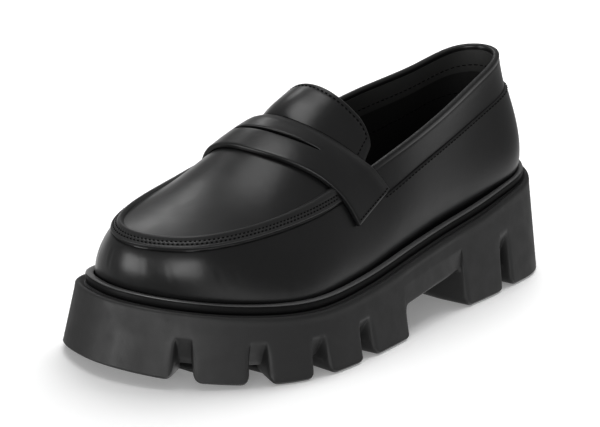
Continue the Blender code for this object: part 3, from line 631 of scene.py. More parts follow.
# A thread along its length: place, thickness, and how far its ends dip into the leather
THREAD_AT = np.array([-0.5, -0.42, -0.25, 0.0, 0.25, 0.42, 0.5])
THREAD_SIZE = np.array([0.25, 0.7, 0.95, 1.0, 0.95, 0.7, 0.25])
THREAD_DIP = np.array([1.0, 0.55, 0.15, 0.0, 0.15, 0.55, 1.0])
THREAD_AROUND = np.linspace(0, 2 * np.pi, 7)[:-1]
THREAD_RISE = 0.65     # share of a thread's radius that its middle stands over the leather
THREAD_SINK = 1.2      # and that its ends lie lower


def threads(spines, normals, radius):
    """Joined bodies of short threads; each spine has a point for each place along a thread."""
    bodies = []
    for spine, normal in zip(spines, normals):
        normal = unit(normal)
        side = np.cross(normal, unit(spine[-1] - spine[0]))
        middle = spine + normal * (radius * (THREAD_RISE - THREAD_SINK * THREAD_DIP))[:, None]
        around = np.outer(np.cos(THREAD_AROUND), side) + np.outer(np.sin(THREAD_AROUND), normal)
        bodies.append(loft(middle[:, None] + radius * THREAD_SIZE[:, None, None] * around))
    return joined(bodies)


def run_along(path):
    """Distance along a path at each of its points."""
    return np.concatenate([[0.0], np.cumsum(np.linalg.norm(np.diff(path, axis=0), axis=1))])


def sample(run, values, at):
    return np.stack([np.interp(at, run, values[:, k]) for k in range(values.shape[1])], axis=-1)


def stitch_row(path, normals, stitch, trim=0.0):
    """Threads in a row along a path on a surface."""
    run = run_along(path)
    length = run[-1] - 2 * trim
    count = max(int(length / stitch.pitch), 1)
    middles = trim + (np.arange(count) + 0.5) * length / count
    spines = [sample(run, path, middle + THREAD_AT * stitch.length) for middle in middles]
    return threads(spines, sample(run, normals, middles), stitch.radius)


def leather_relief(points):
    """Height of the leather's soft unevenness and its creases over the last, along the normal."""
    relief = np.zeros(points.shape[:-1])
    for height, waves in UNEVEN:
        relief += height * np.prod([np.sin(points @ (1 / np.array(lengths))) for lengths in waves], axis=0)
    for crease in CREASES:
        start = LAST.pick(LAST.ring.profile(crease.up0), crease.x0, crease.side)
        end = LAST.pick(LAST.ring.profile(crease.up1), crease.x1, crease.side)
        half = (end - start) / 2
        reach = np.linalg.norm(half)
        off = points - (start + end) / 2
        along = off @ (half / reach)
        across = np.linalg.norm(off - along[..., None] * half / reach, axis=-1) / crease.width
        fade = np.clip(1 - (along / reach) ** 2, 0.0, 1.0)
        relief += crease.depth * fade * (RIDGE_HEIGHT * bell(across - RIDGE_AT) - bell(across))
    return relief


# Sole

def lug_corner(inside, radius=LUG_CORNER):
    """How far a lug's rounded corner falls back, at a distance past its wall (negative is on the lug)."""
    past = np.clip(inside + radius, 0.0, radius)
    return radius - np.sqrt(radius ** 2 - past ** 2)


def arch_height(x):
    """Height of the waist's underside over the floor: upright ends, rounded corners."""
    inside = np.minimum(x - ARCH_REAR, ARCH_FRONT - x)
    radius = np.where(x - ARCH_REAR < ARCH_FRONT - x, ARCH_HEEL_ROUND, ARCH_ROUND)
    corner = np.clip(radius - inside, 0.0, radius)
    top = np.interp(x, (ARCH_REAR + ARCH_HEEL_ROUND, ARCH_FRONT - ARCH_ROUND), (ARCH_TOP, ARCH_TOP_FRONT))
    roof = top - radius + np.sqrt(radius ** 2 - corner ** 2)
    return np.where(inside > 0, roof, lug_corner(inside))


Stations = namedtuple("Stations", "places notch open_below outer inner back front")


def sole_stations():
    """Places round the ring for the sole, paired by x on its two sides, with the notches' share."""
    ring = LAST.ring
    loop = ring.offset(floor_out(ring), 0.0, floor_z)
    back, front = int(np.argmin(loop[:, 0])), int(np.argmax(loop[:, 0]))
    ways = {"outer": (back + np.arange((front - back) % ring.count + 1)) % ring.count,
            "inner": (back - np.arange((back - front) % ring.count + 1)) % ring.count}
    turn = np.linspace(0.0, np.pi, STATIONS)[1:-1]
    low, high = loop[back, 0], loop[front, 0]
    corner = LUG_CORNER * (np.sin(np.radians(LUG_TURN)) - 1)
    wall = np.concatenate([corner, LUG_ROUND * np.linspace(0.0, 1.0, WALL_STATIONS)])
    stations = [mix(low, high, (1 - np.cos(turn)) / 2)]
    turned = np.linspace(0, 1, CORNER_STATIONS) ** 2
    stations += [ARCH_FRONT - TINY - ARCH_ROUND * turned, ARCH_REAR + TINY + ARCH_HEEL_ROUND * turned]
    stations += [ARCH_FRONT - corner, ARCH_REAR + corner]
    lines = {}
    for side, order in ways.items():
        x = np.maximum.accumulate(loop[order, 0])
        run = run_along(loop[order])
        middles = np.interp(NOTCHES[side], x, run)
        lines[side] = (x, run, middles, np.unwrap(ring.places[order], period=KNOTS[-1]))
        for middle in middles:
            for end in (-1, 1):
                stations.append(np.interp(middle + end * (NOTCH_WIDTH / 2 - wall), run, x))
    stations = np.sort(np.concatenate(stations))
    stations = stations[np.concatenate([[True], np.diff(stations) > TINY])]
    stations = stations[(stations > low + TINY) & (stations < high - TINY)]
    places, share, channel = {}, {}, {}
    for side, (x, run, middles, spots) in lines.items():
        at = np.interp(stations, x, run)
        places[side] = np.interp(stations, x, spots)
        inside = NOTCH_WIDTH / 2 - np.min(abs(at[:, None] - middles), axis=1)
        deep = NOTCH_BITE - LUG_EDGE
        share[side] = lug_corner(inside, LUG_EDGE) + deep * smooth_step(inside, 0.0, LUG_ROUND)
        channel[side] = np.where(inside > 0, np.inf, lug_corner(inside))
    count = len(stations)
    order = np.concatenate([[ring.places[back]], places["outer"],
                            [ring.places[front]], places["inner"][::-1]])
    notch, open_below = (np.concatenate([[0.0], part["outer"], [0.0], part["inner"][::-1]])
                         for part in (share, channel))
    outer = np.arange(1, count + 1)
    return Stations(order, notch, open_below, outer, 2 * count + 2 - outer, 0, count + 1)


def outsole():
    """Moulded unit: shelf and rim, sides with notches and waist, tread."""
    found = sole_stations()
    ring = Ring(found.places)
    rim, foot = rim_out(ring), floor_out(ring)
    edge = ring.offset(foot, 0.0, floor_z)
    grow = mix(RIM_GROW, RIM_GROW_HEEL, heel_share(ring))
    high = ring.offset(rim, RIM_EDGE[-1][1] * grow, rim_z)[:, 2] - edge[:, 2]
    arch = arch_height(edge[:, 0])
    lift = np.maximum(arch, np.minimum(found.open_below, LUG_SHARE * high))
    waist = (edge[:, 0] > ARCH_REAR) & (edge[:, 0] < ARCH_FRONT)
    waist_bite = np.interp(edge[:, 0], WAIST_X, (ARCH_BITE, ARCH_BITE_FRONT))
    past_arch = np.minimum(edge[:, 0] - ARCH_REAR, ARCH_FRONT - edge[:, 0])
    bite = np.maximum(np.where(waist, waist_bite, lug_corner(past_arch, LUG_EDGE)), found.notch)
    rows = [ring.offset(rim * share, up, rim_z) for share, up in SHELF]
    rows += [ring.offset(rim - inset * grow, up * grow, rim_z) for inset, up in RIM_EDGE]

    def side_point(up):
        """Point of the side at a share of its height over its own lower edge."""
        over = mix(lift, high, up)
        top = np.where(waist, ARCH_FADE_TOP, NOTCH_TOP) * high
        fade = np.clip(1 - (over - lift) / (top - lift), 0.0, 1.0) ** NOTCH_POWER
        out = mix(foot, rim, over / high) - bite * fade
        plan = ring.foot + ring.out * out[:, None]
        return np.column_stack([plan, edge[:, 2] + over])

    low_share = FLOOR_ROUND / (high - lift)
    shares = np.linspace(1, 0, SIDE_ROWS + 2)[1:-1]
    rows += [side_point(mix(low_share, 1, share)) for share in shares]
    rows.append(side_point(low_share))
    foot_row = side_point(np.zeros(ring.count))
    for angle in np.radians(FLOOR_TURN):
        turn = UP * (1 - np.sin(angle)) - ring.side * (1 - np.cos(angle))
        rows.append(foot_row + turn * FLOOR_ROUND)

    def tread_row(plan, channel):
        over = np.maximum(arch, (lift - arch) * channel)
        return np.column_stack([plan[:, :2], floor_z(plan[:, 0]) + over])

    for distance in FLOOR_ROWS:
        rows.append(tread_row(foot_row - ring.side * distance, 1.0))
    inner_edge = rows[-1]
    centre = inner_edge.copy()
    middle = (inner_edge[found.outer] + inner_edge[found.inner]) / 2
    centre[found.outer] = middle
    centre[found.inner] = middle
    for share in CENTRE_ROWS:
        rows.append(tread_row(mix(inner_edge, centre, share), share < CHANNEL_END))
    points = np.array(rows)
    faces = [list(quad) for quad in grid_faces(*points.shape[:2], wrap=True)]
    last = (len(rows) - 1) * ring.count
    for start in (0, last):
        for k in range(len(found.outer) - 1):
            a, b = found.outer[k], found.outer[k + 1]
            c, d = found.inner[k + 1], found.inner[k]
            faces.append([start + a, start + b, start + c, start + d])
        for tip, near in ((found.back, 0), (found.front, -1)):
            faces.append([start + found.outer[near], start + tip, start + found.inner[near]])
    return points.reshape(-1, 3), faces


def bead_rows(ring, angles, size=1.0):
    """Points of the bead's section at angles round it, a row for each."""
    across = np.sign(np.cos(angles)) * abs(np.cos(angles)) ** WELT_SQUARE * size
    up = np.sign(np.sin(angles)) * abs(np.sin(angles)) ** WELT_SQUARE * size
    rim = rim_out(ring)
    return np.array([ring.offset(rim * (WELT_MIDDLE + WELT_HALF * a), WELT_RISE * (1 + u), rim_z)
                     for a, u in zip(across, up)])


def welt_bead():
    """Bead on the shelf, round the foot of the upper."""
    rows = bead_rows(Ring(even_places(WELT_RING)), np.linspace(0, 2 * np.pi, WELT_AROUND, endpoint=False))
    return loft(rows.transpose(1, 0, 2), closed_path=True)


def painted_highlight_cap():
    """Shell over the bead's top in a lighter, glossier material: a painted highlight line along the bead."""
    ring = Ring(even_places(WELT_RING))
    rows = [bead_rows(ring, CAP_TURN, CAP_OVER), bead_rows(ring, CAP_TURN[::-1], CAP_UNDER)]
    return loft(np.concatenate(rows).transpose(1, 0, 2), closed_path=True)


def insole_board():
    """Footbed, a little dished."""
    ring = Ring(even_places(INSOLE_RING))
    half = ring.count // 2
    loop = ring.offset(-INSOLE_INSET, 0.0, rim_z)
    outer, inner = loop[1:half], loop[:half:-1]
    share = np.linspace(0, 1, INSOLE_COLUMNS)
    points = mix(outer[:, None], inner[:, None], share[:, None])
    points[:, :, 2] = rim_z(points[:, :, 0]) + JOINT_GAP
    top = points.copy()
    across = 2 * share - 1
    top[:, :, 2] += INSOLE_THICK - INSOLE_DISH * (1 - across ** 2)
    top[:, :, 2] -= round_edge((1 - abs(across)) * INSOLE_HALF, INSOLE_ROUND)
    return slab(top, points)


# Upper

def wall_top(ring, below):
    """The t at a distance below the top edge, or at that edge in front."""
    return mix(ring.below_edge(below), 1, smooth_step(ring.edge[:, 0], *WRAP_X))


def quarters():
    """Side walls, from under the insole up to the collar seam, or to the top edge in front."""
    ring = Ring(even_places(UPPER_RING))
    top = wall_top(ring, ring.band)
    rows = [ring.offset(out, up, rim_z) for out, up in FOOT_ROWS]
    fill = mix(FOOT_FILL_HEEL, FOOT_FILL, smooth_step(ring.foot[:, 0], *FOOT_FILL_X))
    for share in WALL_SHARES:
        filled = fill * (1 - top * share) ** FOOT_FILL_POWER
        rows.append(ring.profile(top * share) + ring.side * filled[:, None])
    points = np.array(rows)
    normal = -grid_normals(points, wrap=True)
    below = np.linalg.norm(points - points[-1], axis=2)
    heel = bell(points[:, :, 1], BACK_SEAM_WIDTH) * (points[:, :, 0] < BACK_SEAM_X)
    relief = leather_relief(points) - round_edge(below, LEATHER * EDGE_SHARE) - BACK_SEAM_DEPTH * heel
    place, half, deep = SEAM_SHADE
    strap = STRAP_FRONT.outer_edge
    front = smooth_step(ring.edge[:, 0], strap - SEAM_UNDER_STRAP, strap)
    relief -= deep * front * bell(below - place, half)
    return slab(points + normal * relief[:, :, None], points - normal * LEATHER, wrap=True)


def collar_columns(front):
    """Ring of the sections behind x = front, from the inner side round the heel to the outer."""
    places = even_places(UPPER_RING)
    edge = Ring(places).edge[:, 0]
    half = len(places) // 2
    outer = places[:half][edge[:half] < front]
    inner = places[half:][edge[half:] < front] - KNOTS[-1]
    return Ring(np.concatenate([inner, outer]))


def below_rows(ring, rows):
    """Points and outward normals of the wall at distances below the top edge, lowest first."""
    points = np.array([ring.profile(ring.below_edge(row)) for row in rows])
    return points, -grid_normals(points)


def collar():
    """Collar band with its rolled topline, turned down inside."""
    ring = collar_columns(COLLAR_FRONT)
    rows = [ring.band + below for below in COLLAR_SEAM_ROWS]
    rows += [mix(COLLAR_SPREAD_TOP, ring.band, share) for share in COLLAR_SPREAD]
    rows += [np.full(ring.count, d) for d in COLLAR_ROWS]
    points, normal = below_rows(ring, rows)
    depth = np.array(rows)
    at, deep, half = COLLAR_GROOVE
    relief = -COLLAR_STEP * np.clip(depth / ring.band, 0, 1)
    relief -= deep * bell(depth - at, half)
    outer = points + normal * relief[:, :, None]
    rise = unit(points[-1] - points[-COLLAR_SLOPE_ROW])
    radius = COLLAR_ROLL / 2
    roll = [outer[-1] - normal[-1] * radius * (1 - np.cos(a)) + rise * COLLAR_RISE * np.sin(a)
            for a in np.radians(COLLAR_TURN)]
    inside, inside_normal = below_rows(ring, COLLAR_INSIDE_ROWS)
    inside = (inside - inside_normal * COLLAR_ROLL)[::-1]
    return loft(np.concatenate([outer, roll, inside]).transpose(1, 0, 2))


def sheet(points, normal, faces, wrap=False):
    """Thin body between two faces in from the wall."""
    near, far = (points - normal * depth for depth in faces)
    return slab(near, far, wrap)


def collar_lining():
    """Lining of the collar, under its rolled topline."""
    ring = collar_columns(COLLAR_FRONT)
    return sheet(*below_rows(ring, COLLAR_LINING_ROWS), COLLAR_LINING_FACES)


def lining():
    """Lining of the side walls."""
    ring = Ring(even_places(UPPER_RING // 2))
    top = wall_top(ring, COLLAR_INSIDE - LINING_LAP)
    shares = np.linspace(0, 1, LINING_ROWS)
    points = np.array([ring.profile(mix(LINING_FOOT, top, share)) for share in shares])
    return sheet(points, -grid_normals(points, wrap=True), LINING_FACES, wrap=True)


def apron():
    """Panel over the toes and the instep, inside the moccasin seam."""
    tip = LAST.ring.edge[:, 0].max()
    x = mix(THROAT_X, tip - TINY, np.sin(np.linspace(0, np.pi / 2, APRON_ROWS)))
    eta = np.sin(np.linspace(np.pi / 2, -np.pi / 2, APRON_COLUMNS))
    points = LAST.roof(x[:, None], eta[None, :])
    normal = grid_normals(points)
    top = points + normal * leather_relief(points)[:, :, None]
    return slab(top, points - UP * APRON_THICK)


Seam = namedtuple("Seam", "base normal height run")


def seam_surface():
    """Points under the moccasin seam, and the seam's height over them."""
    places = even_places(SEAM_RING)
    edge = Ring(places).edge[:, 0]
    half = len(places) // 2
    start = np.where(np.arange(len(places)) < half, STRAP_FRONT.outer_edge, STRAP_FRONT.inner_edge)
    ring = Ring(places[edge > start - SEAM_UNDER_STRAP])
    start = start[edge > start - SEAM_UNDER_STRAP]
    base, height = [], []
    run = run_along(ring.edge)
    for across, up in SEAM_SECTION:
        if across <= 0:
            base.append(ring.profile(ring.below_edge(-across)))
        else:
            inset = ring.edge[:, :2] - ring.out * across
            base.append(LAST.roof_under(inset[:, 0], inset[:, 1]))
        hole = np.zeros(ring.count)
        for place, ahead in SEAM_HOLES:
            wave = np.cos(np.pi * (run / SEAM_PITCH - ahead)) ** SEAM_HOLE_POWER
            hole = hole + wave * bell(across - place, SEAM_HOLE_HALF)
        shown = smooth_step(ring.edge[:, 0], start - SEAM_UNDER_STRAP, start + SEAM_FADE)
        height.append(mix(SEAM_UNDER, up - SEAM_HOLE_DEPTH * hole, shown))
    base = np.array(base)
    return Seam(base, grid_normals(base), np.array(height), run)


def moc_seam(seam):
    """Folded and gathered seam between the apron and the side wall."""
    return slab(seam.base + seam.normal * seam.height[:, :, None], seam.base + seam.normal * SEAM_UNDER)


def moc_stitches(seam):
    """Two rows of short threads, one in each hole of the sewn band."""
    across = np.array([row[0] for row in SEAM_SECTION])
    top = seam.base + seam.normal * seam.height[:, :, None]
    spines, normals = [], []
    for place, ahead in SEAM_HOLES:
        row = int(np.argmin(abs(across - place)))
        count = int(seam.run[-1] / SEAM_PITCH) - SEAM_ENDS
        for middle in (np.arange(SEAM_ENDS, count) + ahead) * SEAM_PITCH:
            spot = middle + THREAD_AT * SEAM_THREAD_LENGTH
            spines.append(sample(seam.run, top[row], spot))
            normals.append(sample(seam.run, seam.normal[row], np.array([middle]))[0])
    return threads(spines, normals, SEAM_THREAD)


def strap_x(edge, part, value):
    """x of a strap's edge on one of its ends, or over the roof."""
    if part == "outer":
        return mix(edge.outer_end, edge.outer_edge, value)
    if part == "inner":
        return mix(edge.inner_end, edge.inner_edge, value)
    return mix(edge.outer_edge, edge.inner_edge, (1 - value) / 2) + edge.bow * (1 - value ** 2)


Strap = namedtuple("Strap", "top bottom normal keep")


def strap_surface():
    """Both faces of the strap, with the slit's cells marked as open."""
    ring = LAST.ring
    across = (ring.edge[:, 0] - STRAP_REAR.outer_edge) / (STRAP_FRONT.outer_edge - STRAP_REAR.outer_edge)
    across = np.clip(across, -DROP_LIMIT, 1 + DROP_LIMIT)
    end = ring.below_edge(mix(STRAP_REAR.drop, STRAP_FRONT.drop, across))
    wall = {share: ring.profile(mix(end, 1, share)) for share in STRAP_ENDS}
    stations = [("outer", share) for share in STRAP_ENDS]
    stations += [("roof", eta) for eta in np.linspace(1, -1, STRAP_COLUMNS)]
    stations += [("inner", share) for share in STRAP_ENDS[::-1]]
    columns, drops = [], []
    for part, value in stations:
        front, rear = strap_x(STRAP_FRONT, part, value), strap_x(STRAP_REAR, part, value)
        lens, inner_side = 0.0, float(part == "inner")
        if part == "roof":
            lens = np.sqrt(max(1 - (value / SLIT_HALF_LENGTH) ** 2, 0.0))
            inner_side = smooth_step(-value, 0.0, SLIT_HALF_LENGTH)
        gap = mix(SLIT_LINE, SLIT_GAP, lens) / 2
        middle = (SLIT_AT - SLIT_TURN * inner_side) * STRAP_WIDTH
        before = STRAP_BEFORE + [middle - gap - d for d in STRAP_LIP[::-1]]
        after = [middle + gap + d for d in STRAP_LIP] + [STRAP_WIDTH - d for d in STRAP_BEFORE[::-1]]
        place = np.array(before + after)
        plain = [np.inf] * len(STRAP_BEFORE)
        lip = np.array(plain + STRAP_LIP[::-1] + STRAP_LIP + plain)
        x = mix(front, rear, place / STRAP_WIDTH)
        columns.append(LAST.roof(x, value) if part == "roof" else LAST.pick(wall[value], x, part))
        drop = round_edge(np.minimum(place, STRAP_WIDTH - place), EDGE_ROUND)
        drop = drop + STRAP_THIN * smooth_step(place, STRAP_WIDTH - STRAP_THIN_OVER, STRAP_WIDTH)
        drop = np.maximum(drop, round_edge(lip, LIP_ROUND) * min(1.0, LIP_GROW * lens))
        raised = LIP_RISE * lens * bell(np.minimum(lip, LIP_FAR), LIP_REACH) * (place > middle)
        if part != "roof":
            drop = np.maximum(drop, round_edge(value * STRAP_END_LENGTH, EDGE_ROUND))
        drops.append(drop - raised)
    points = np.array(columns).transpose(1, 0, 2)[::-1]
    drops = np.array(drops).T[::-1]
    corner = len(STRAP_ENDS)
    for _ in range(STRAP_SOFTEN):
        soft = (points[:, :-2] + 2 * points[:, 1:-1] + points[:, 2:]) / 4
        for middle in (corner, points.shape[1] - 1 - corner):
            near = slice(middle - SOFTEN_HALF, middle + SOFTEN_HALF + 1)
            points[:, near] = soft[:, middle - SOFTEN_HALF - 1:middle + SOFTEN_HALF]
    normal = grid_normals(points)
    bottom = points + normal * STRAP_LIFT
    top = bottom + normal * (STRAP_THICK - drops)[:, :, None]
    open_at = np.array([part == "roof" and abs(value) < SLIT_HALF_LENGTH for part, value in stations])
    keep = np.ones((points.shape[0] - 1, points.shape[1] - 1), bool)
    slit_row = len(STRAP_BEFORE) + len(STRAP_LIP) - 1
    keep[slit_row, :] = ~(open_at[:-1] & open_at[1:])
    return Strap(top, bottom, normal, keep)


def strap_stitches(strap):
    """Row of stitches beside each end of the strap."""
    ends = (STRAP_STITCH_COLUMN, strap.top.shape[1] - 1 - STRAP_STITCH_COLUMN)
    return joined([stitch_row(strap.top[:, c], strap.normal[:, c], STRAP_STITCH, STRAP_STITCH_TRIM)
                   for c in ends])


def tongue_y(eta, wide):
    """Sideways place on the tongue; wide is 1 where it is widest, at the strap."""
    return TONGUE_MIDDLE + eta * TONGUE_HALF + wide * TONGUE_SPREAD * np.maximum(eta, 0.0) ** 2


def tongue_foot(eta):
    """x where the tongue starts to rise, behind the strap."""
    return strap_x(STRAP_REAR, "roof", tongue_y(eta, 1.0) / STRAP_HALF) - TONGUE_CLEAR


def tongue_top(eta):
    """x of the tongue's top edge, with square corners."""
    return TONGUE_TOP - TONGUE_TOP_DIP * abs(eta) ** TONGUE_DIP_POWER


def tongue_surface(x, eta):
    """Top face of the tongue before it sinks under the strap."""
    x, eta = np.broadcast_arrays(np.asarray(x, float), np.asarray(eta, float))
    foot, top = tongue_foot(eta), tongue_top(eta)
    wide = np.clip((x - top) / (foot - top), 0.0, 1.0) - smooth_step(x - foot, 0.0, TONGUE_NARROW_OVER)
    points = LAST.roof_under(x, tongue_y(eta, wide))
    shoulder = np.where(eta > 0, TONGUE_OUTER_SHOULDER, TONGUE_INNER_SHOULDER)
    fall = np.sqrt(np.maximum(1 - abs(eta) ** shoulder, 0.0))
    behind = np.maximum(foot - x, 0.0) / (STRAP_REAR.bow - TONGUE_TOP)
    rise = mix(TONGUE_RISE, TONGUE_INNER_RISE, smooth_step(-eta, *TONGUE_RISE_TURN))
    points[..., 2] += TONGUE_START + TONGUE_KICK * behind ** rise * fall
    return points


def tongue_rear(eta):
    """x of the tongue's top edge, with rounded corners."""
    near = np.clip(1 - TONGUE_HALF * (1 - abs(eta)) / TONGUE_CORNER, 0.0, 1.0)
    return tongue_top(eta) + TONGUE_CORNER * (1 - np.sqrt(1 - near ** 2))


def tongue():
    """Tongue with a rounded edge and a sewn line inside it."""
    eta = np.sin(np.radians(np.linspace(90, -90, TONGUE_COLUMNS)))
    rear, foot = tongue_rear(eta), tongue_foot(eta)
    edge_share = np.array(TONGUE_EDGE_ROWS) / TONGUE_EDGE_SPAN
    back = 1 - (1 - np.linspace(0, 1, TONGUE_BACK_ROWS)[1:]) ** 2
    x = np.concatenate([rear + TONGUE_EDGE_SPAN * edge_share[:, None],
                        rear + TONGUE_EDGE_SPAN + (foot - rear - TONGUE_EDGE_SPAN) * back[:, None],
                        foot + (TONGUE_FRONT - foot) * np.array(TONGUE_UNDER)[:, None]])
    points = tongue_surface(x, eta[None, :])
    normal = grid_normals(points)
    edge = np.minimum(x - rear, TONGUE_HALF * (1 - abs(eta))[None, :])
    relief = -round_edge(edge, TONGUE_THICK / 2)
    relief -= TONGUE_GROOVE * bell(edge - TONGUE_STITCH_IN, TONGUE_GROOVE_HALF)
    sink = TONGUE_SINK * smooth_step(x - foot, 0.0, TONGUE_SINK_OVER) + 2 * TONGUE_START * (x > foot)
    points = points - normal * sink[:, :, None]
    under = TONGUE_THICK - round_edge(edge, TONGUE_THICK / 2)
    return slab(points + normal * relief[:, :, None], points - normal * under[:, :, None])


def tongue_stitches():
    """Row of stitches inside the tongue's edge, as far as the strap."""
    side = 1 - TONGUE_STITCH_IN / TONGUE_HALF
    top = np.linspace(side, -side, TONGUE_TOP_POINTS)
    down = np.linspace(*TONGUE_STITCH_DOWN, TONGUE_SIDE_POINTS)
    rear = tongue_rear(top) + TONGUE_STITCH_IN
    x = np.concatenate([rear[0] + down, rear, rear[-1] + down[::-1]])
    eta = np.concatenate([np.full(TONGUE_SIDE_POINTS, side), top, np.full(TONGUE_SIDE_POINTS, -side)])
    path = tongue_surface(x, eta)
    across, forward = tongue_surface(x, eta - SLOPE_STEP), tongue_surface(x + SLOPE_STEP, eta)
    normal = unit(np.cross(across - path, forward - path))
    shown = x < tongue_foot(eta)
    return stitch_row((path - normal * TONGUE_GROOVE)[shown], normal[shown], TONGUE_STITCH)


def upper_stitches():
    """Stitches below the collar seam and beside the back seam."""
    ring = collar_columns(COLLAR_STITCH_FRONT)
    points, normal = below_rows(ring, [ring.band + below for below in UPPER_STITCH_ROWS])
    rows = [stitch_row(points[1], normal[1], UPPER_STITCH)]
    ring = collar_columns(BACK_SEAM_X)
    wall, normal = below_rows(ring, [ring.band + below for below in BACK_STITCH_ROWS])
    c = int(np.argmin(abs(ring.edge[:, 1] - BACK_SEAM_ROW)))
    rows.append(stitch_row(wall[:, c], normal[:, c], UPPER_STITCH))
    return joined(rows)


def lining_stitches():
    """Two sewn lines on the lining, below the topline."""
    ring = collar_columns(COLLAR_STITCH_FRONT)
    rows = []
    for depth, inside in LINING_STITCH_AT:
        points, normal = below_rows(ring, [depth + LINING_STITCH_STEP, depth, depth - LINING_STITCH_STEP])
        rows.append(stitch_row(points[1] - normal[1] * inside, -normal[1], LINING_STITCH))
    return joined(rows)


# Materials. gloss: noise scale, lowest and highest roughness of its patches. bumps: noise scale,
# detail, strength and height in metres.
GLOSS_DETAIL = 3.0
GLOSS_RANGE = (0.35, 0.65)
MATERIALS = {
    "black_leather": dict(colour=(0.006, 0.006, 0.0062), roughness=0.3, coat=0.12, coat_roughness=0.24,
                          specular=0.4, gloss=(90.0, 0.28, 0.34),
                          bumps=[(260.0, 2.0, 0.12, 0.0003), (1900.0, 2.0, 0.07, 0.0001)]),
    "edge_leather": dict(colour=(0.010, 0.010, 0.0103), roughness=0.4, coat=0.1, coat_roughness=0.25,
                         bumps=[(1700.0, 2.0, 0.25, 0.0001)]),
    # Lining of the side walls and the footbed, darker than the collar's lining: painted shade lower in the
    # shoe
    "lining_leather": dict(colour=(0.010, 0.010, 0.0098), roughness=0.62,
                           bumps=[(1500.0, 3.0, 0.25, 0.0001)]),
    # Same lining leather as the side walls, made lighter: painted light on the lining's upper band
    "collar_lining": dict(colour=(0.034, 0.034, 0.033), roughness=0.6,
                          bumps=[(1500.0, 3.0, 0.25, 0.0001)]),
    "sole_rubber": dict(colour=(0.007, 0.007, 0.0071), roughness=0.5, specular=0.7,
                        gloss=(120.0, 0.52, 0.62), bumps=[(1400.0, 3.0, 0.30, 0.0001)]),
    # Darker and less shiny than the sole's rubber: painted shade on the bead's outer face
    "welt_rubber": dict(colour=(0.004, 0.004, 0.0041), roughness=0.5, specular=0.15,
                        bumps=[(900.0, 2.0, 0.10, 0.0001)]),
    # Lighter, glossier cap over the bead's top: a painted highlight line along the bead
    "welt_cap_painted_highlight": dict(colour=(0.07, 0.07, 0.0705), roughness=0.32, specular=0.9,
                     bumps=[(900.0, 2.0, 0.10, 0.0001)]),
    "thread": dict(colour=(0.002, 0.002, 0.002), roughness=0.8, specular=0.1),
}
FLOOR_PAPER = dict(colour=(0.95, 0.95, 0.95), roughness=0.8, specular=0.1)


def set_inputs(node, values):
    for name, value in values.items():
        node.inputs[name].default_value = value


def new_material(name, colour, roughness, coat=0.0, coat_roughness=0.2, specular=0.5, gloss=None, bumps=()):
    material = bpy.data.materials.new(name)
    material.use_nodes = True
    shader = material.node_tree.nodes["Principled BSDF"]
    set_inputs(shader, {"Base Color": (*colour, 1.0), "Roughness": roughness, "Specular IOR Level": specular,
                        "Coat Weight": coat, "Coat Roughness": coat_roughness})
    if gloss:
        vary_roughness(material, *gloss)
    for bump in bumps:
        add_bump(material, *bump)
    return material


def add_noise(material, scale, detail):
    nodes, links = material.node_tree.nodes, material.node_tree.links
    place = nodes.new("ShaderNodeTexCoord")
    noise = nodes.new("ShaderNodeTexNoise")
    set_inputs(noise, {"Scale": scale, "Detail": detail})
    links.new(place.outputs["Object"], noise.inputs["Vector"])
    return noise


def add_bump(material, scale, detail, strength, distance):
    """Fine surface relief from noise, in the shoe's own sizes."""
    nodes, links = material.node_tree.nodes, material.node_tree.links
    noise = add_noise(material, scale, detail)
    bump = nodes.new("ShaderNodeBump")
    set_inputs(bump, {"Strength": strength, "Distance": distance})
    links.new(noise.outputs["Fac"], bump.inputs["Height"])
    shader = nodes["Principled BSDF"]
    previous = shader.inputs["Normal"].links
    if previous:
        links.new(previous[0].from_socket, bump.inputs["Normal"])
    links.new(bump.outputs["Normal"], shader.inputs["Normal"])
    if shader.inputs["Coat Weight"].default_value > 0:
        links.new(bump.outputs["Normal"], shader.inputs["Coat Normal"])


def vary_roughness(material, scale, low, high):
    """Patches of slightly different gloss."""
    nodes, links = material.node_tree.nodes, material.node_tree.links
    noise = add_noise(material, scale, GLOSS_DETAIL)
    spread = nodes.new("ShaderNodeMapRange")
    start, end = GLOSS_RANGE
    set_inputs(spread, {"From Min": start, "From Max": end, "To Min": low, "To Max": high})
    links.new(noise.outputs["Fac"], spread.inputs["Value"])
    links.new(spread.outputs["Result"], nodes["Principled BSDF"].inputs["Roughness"])


def build_shoe():
    made = {name: new_material(name, **look) for name, look in MATERIALS.items()}
    leather, lined, thread = made["black_leather"], made["lining_leather"], made["thread"]
    add_piece("sole_unit", outsole(), made["sole_rubber"], ["outsole"], sharp=38.0)
    # The bead's rubber is darkened as painted shade, under its lighter top
    add_piece("welt_bead", welt_bead(), made["welt_rubber"], ["welt"])
    # The bead's top carries a painted highlight: a lighter shell laid over it
    add_piece("welt_cap_painted_highlight", painted_highlight_cap(), made["welt_cap_painted_highlight"])
    add_piece("footbed", insole_board(), lined, ["insole"])
    add_piece("quarters", quarters(), leather, ["upper"], sharp=50.0)
    add_piece("collar", collar(), leather, ["upper"], sharp=60.0)
    add_piece("apron", apron(), leather, ["upper"], sharp=50.0)
    add_piece("lining", lining(), lined, ["upper"])
    # Its lighter lining material is painted light on the upper band inside
    add_piece("collar_lining", collar_lining(), made["collar_lining"], ["upper"])
    seam = seam_surface()
    add_piece("moc_fold", moc_seam(seam), made["edge_leather"], ["moc_seam"], sharp=60.0)
    add_piece("moc_threads", moc_stitches(seam), thread)
    strap = strap_surface()
    strap_body = slab(strap.top, strap.bottom, keep=strap.keep)
    add_piece("penny_strap", strap_body, leather, ["strap"])
    add_piece("strap_threads", strap_stitches(strap), thread)
    add_piece("tongue_panel", tongue(), leather, ["tongue"])
    add_piece("tongue_threads", tongue_stitches(), thread)
    add_piece("upper_threads", upper_stitches(), thread)
    add_piece("lining_threads", lining_stitches(), thread)


# Studio

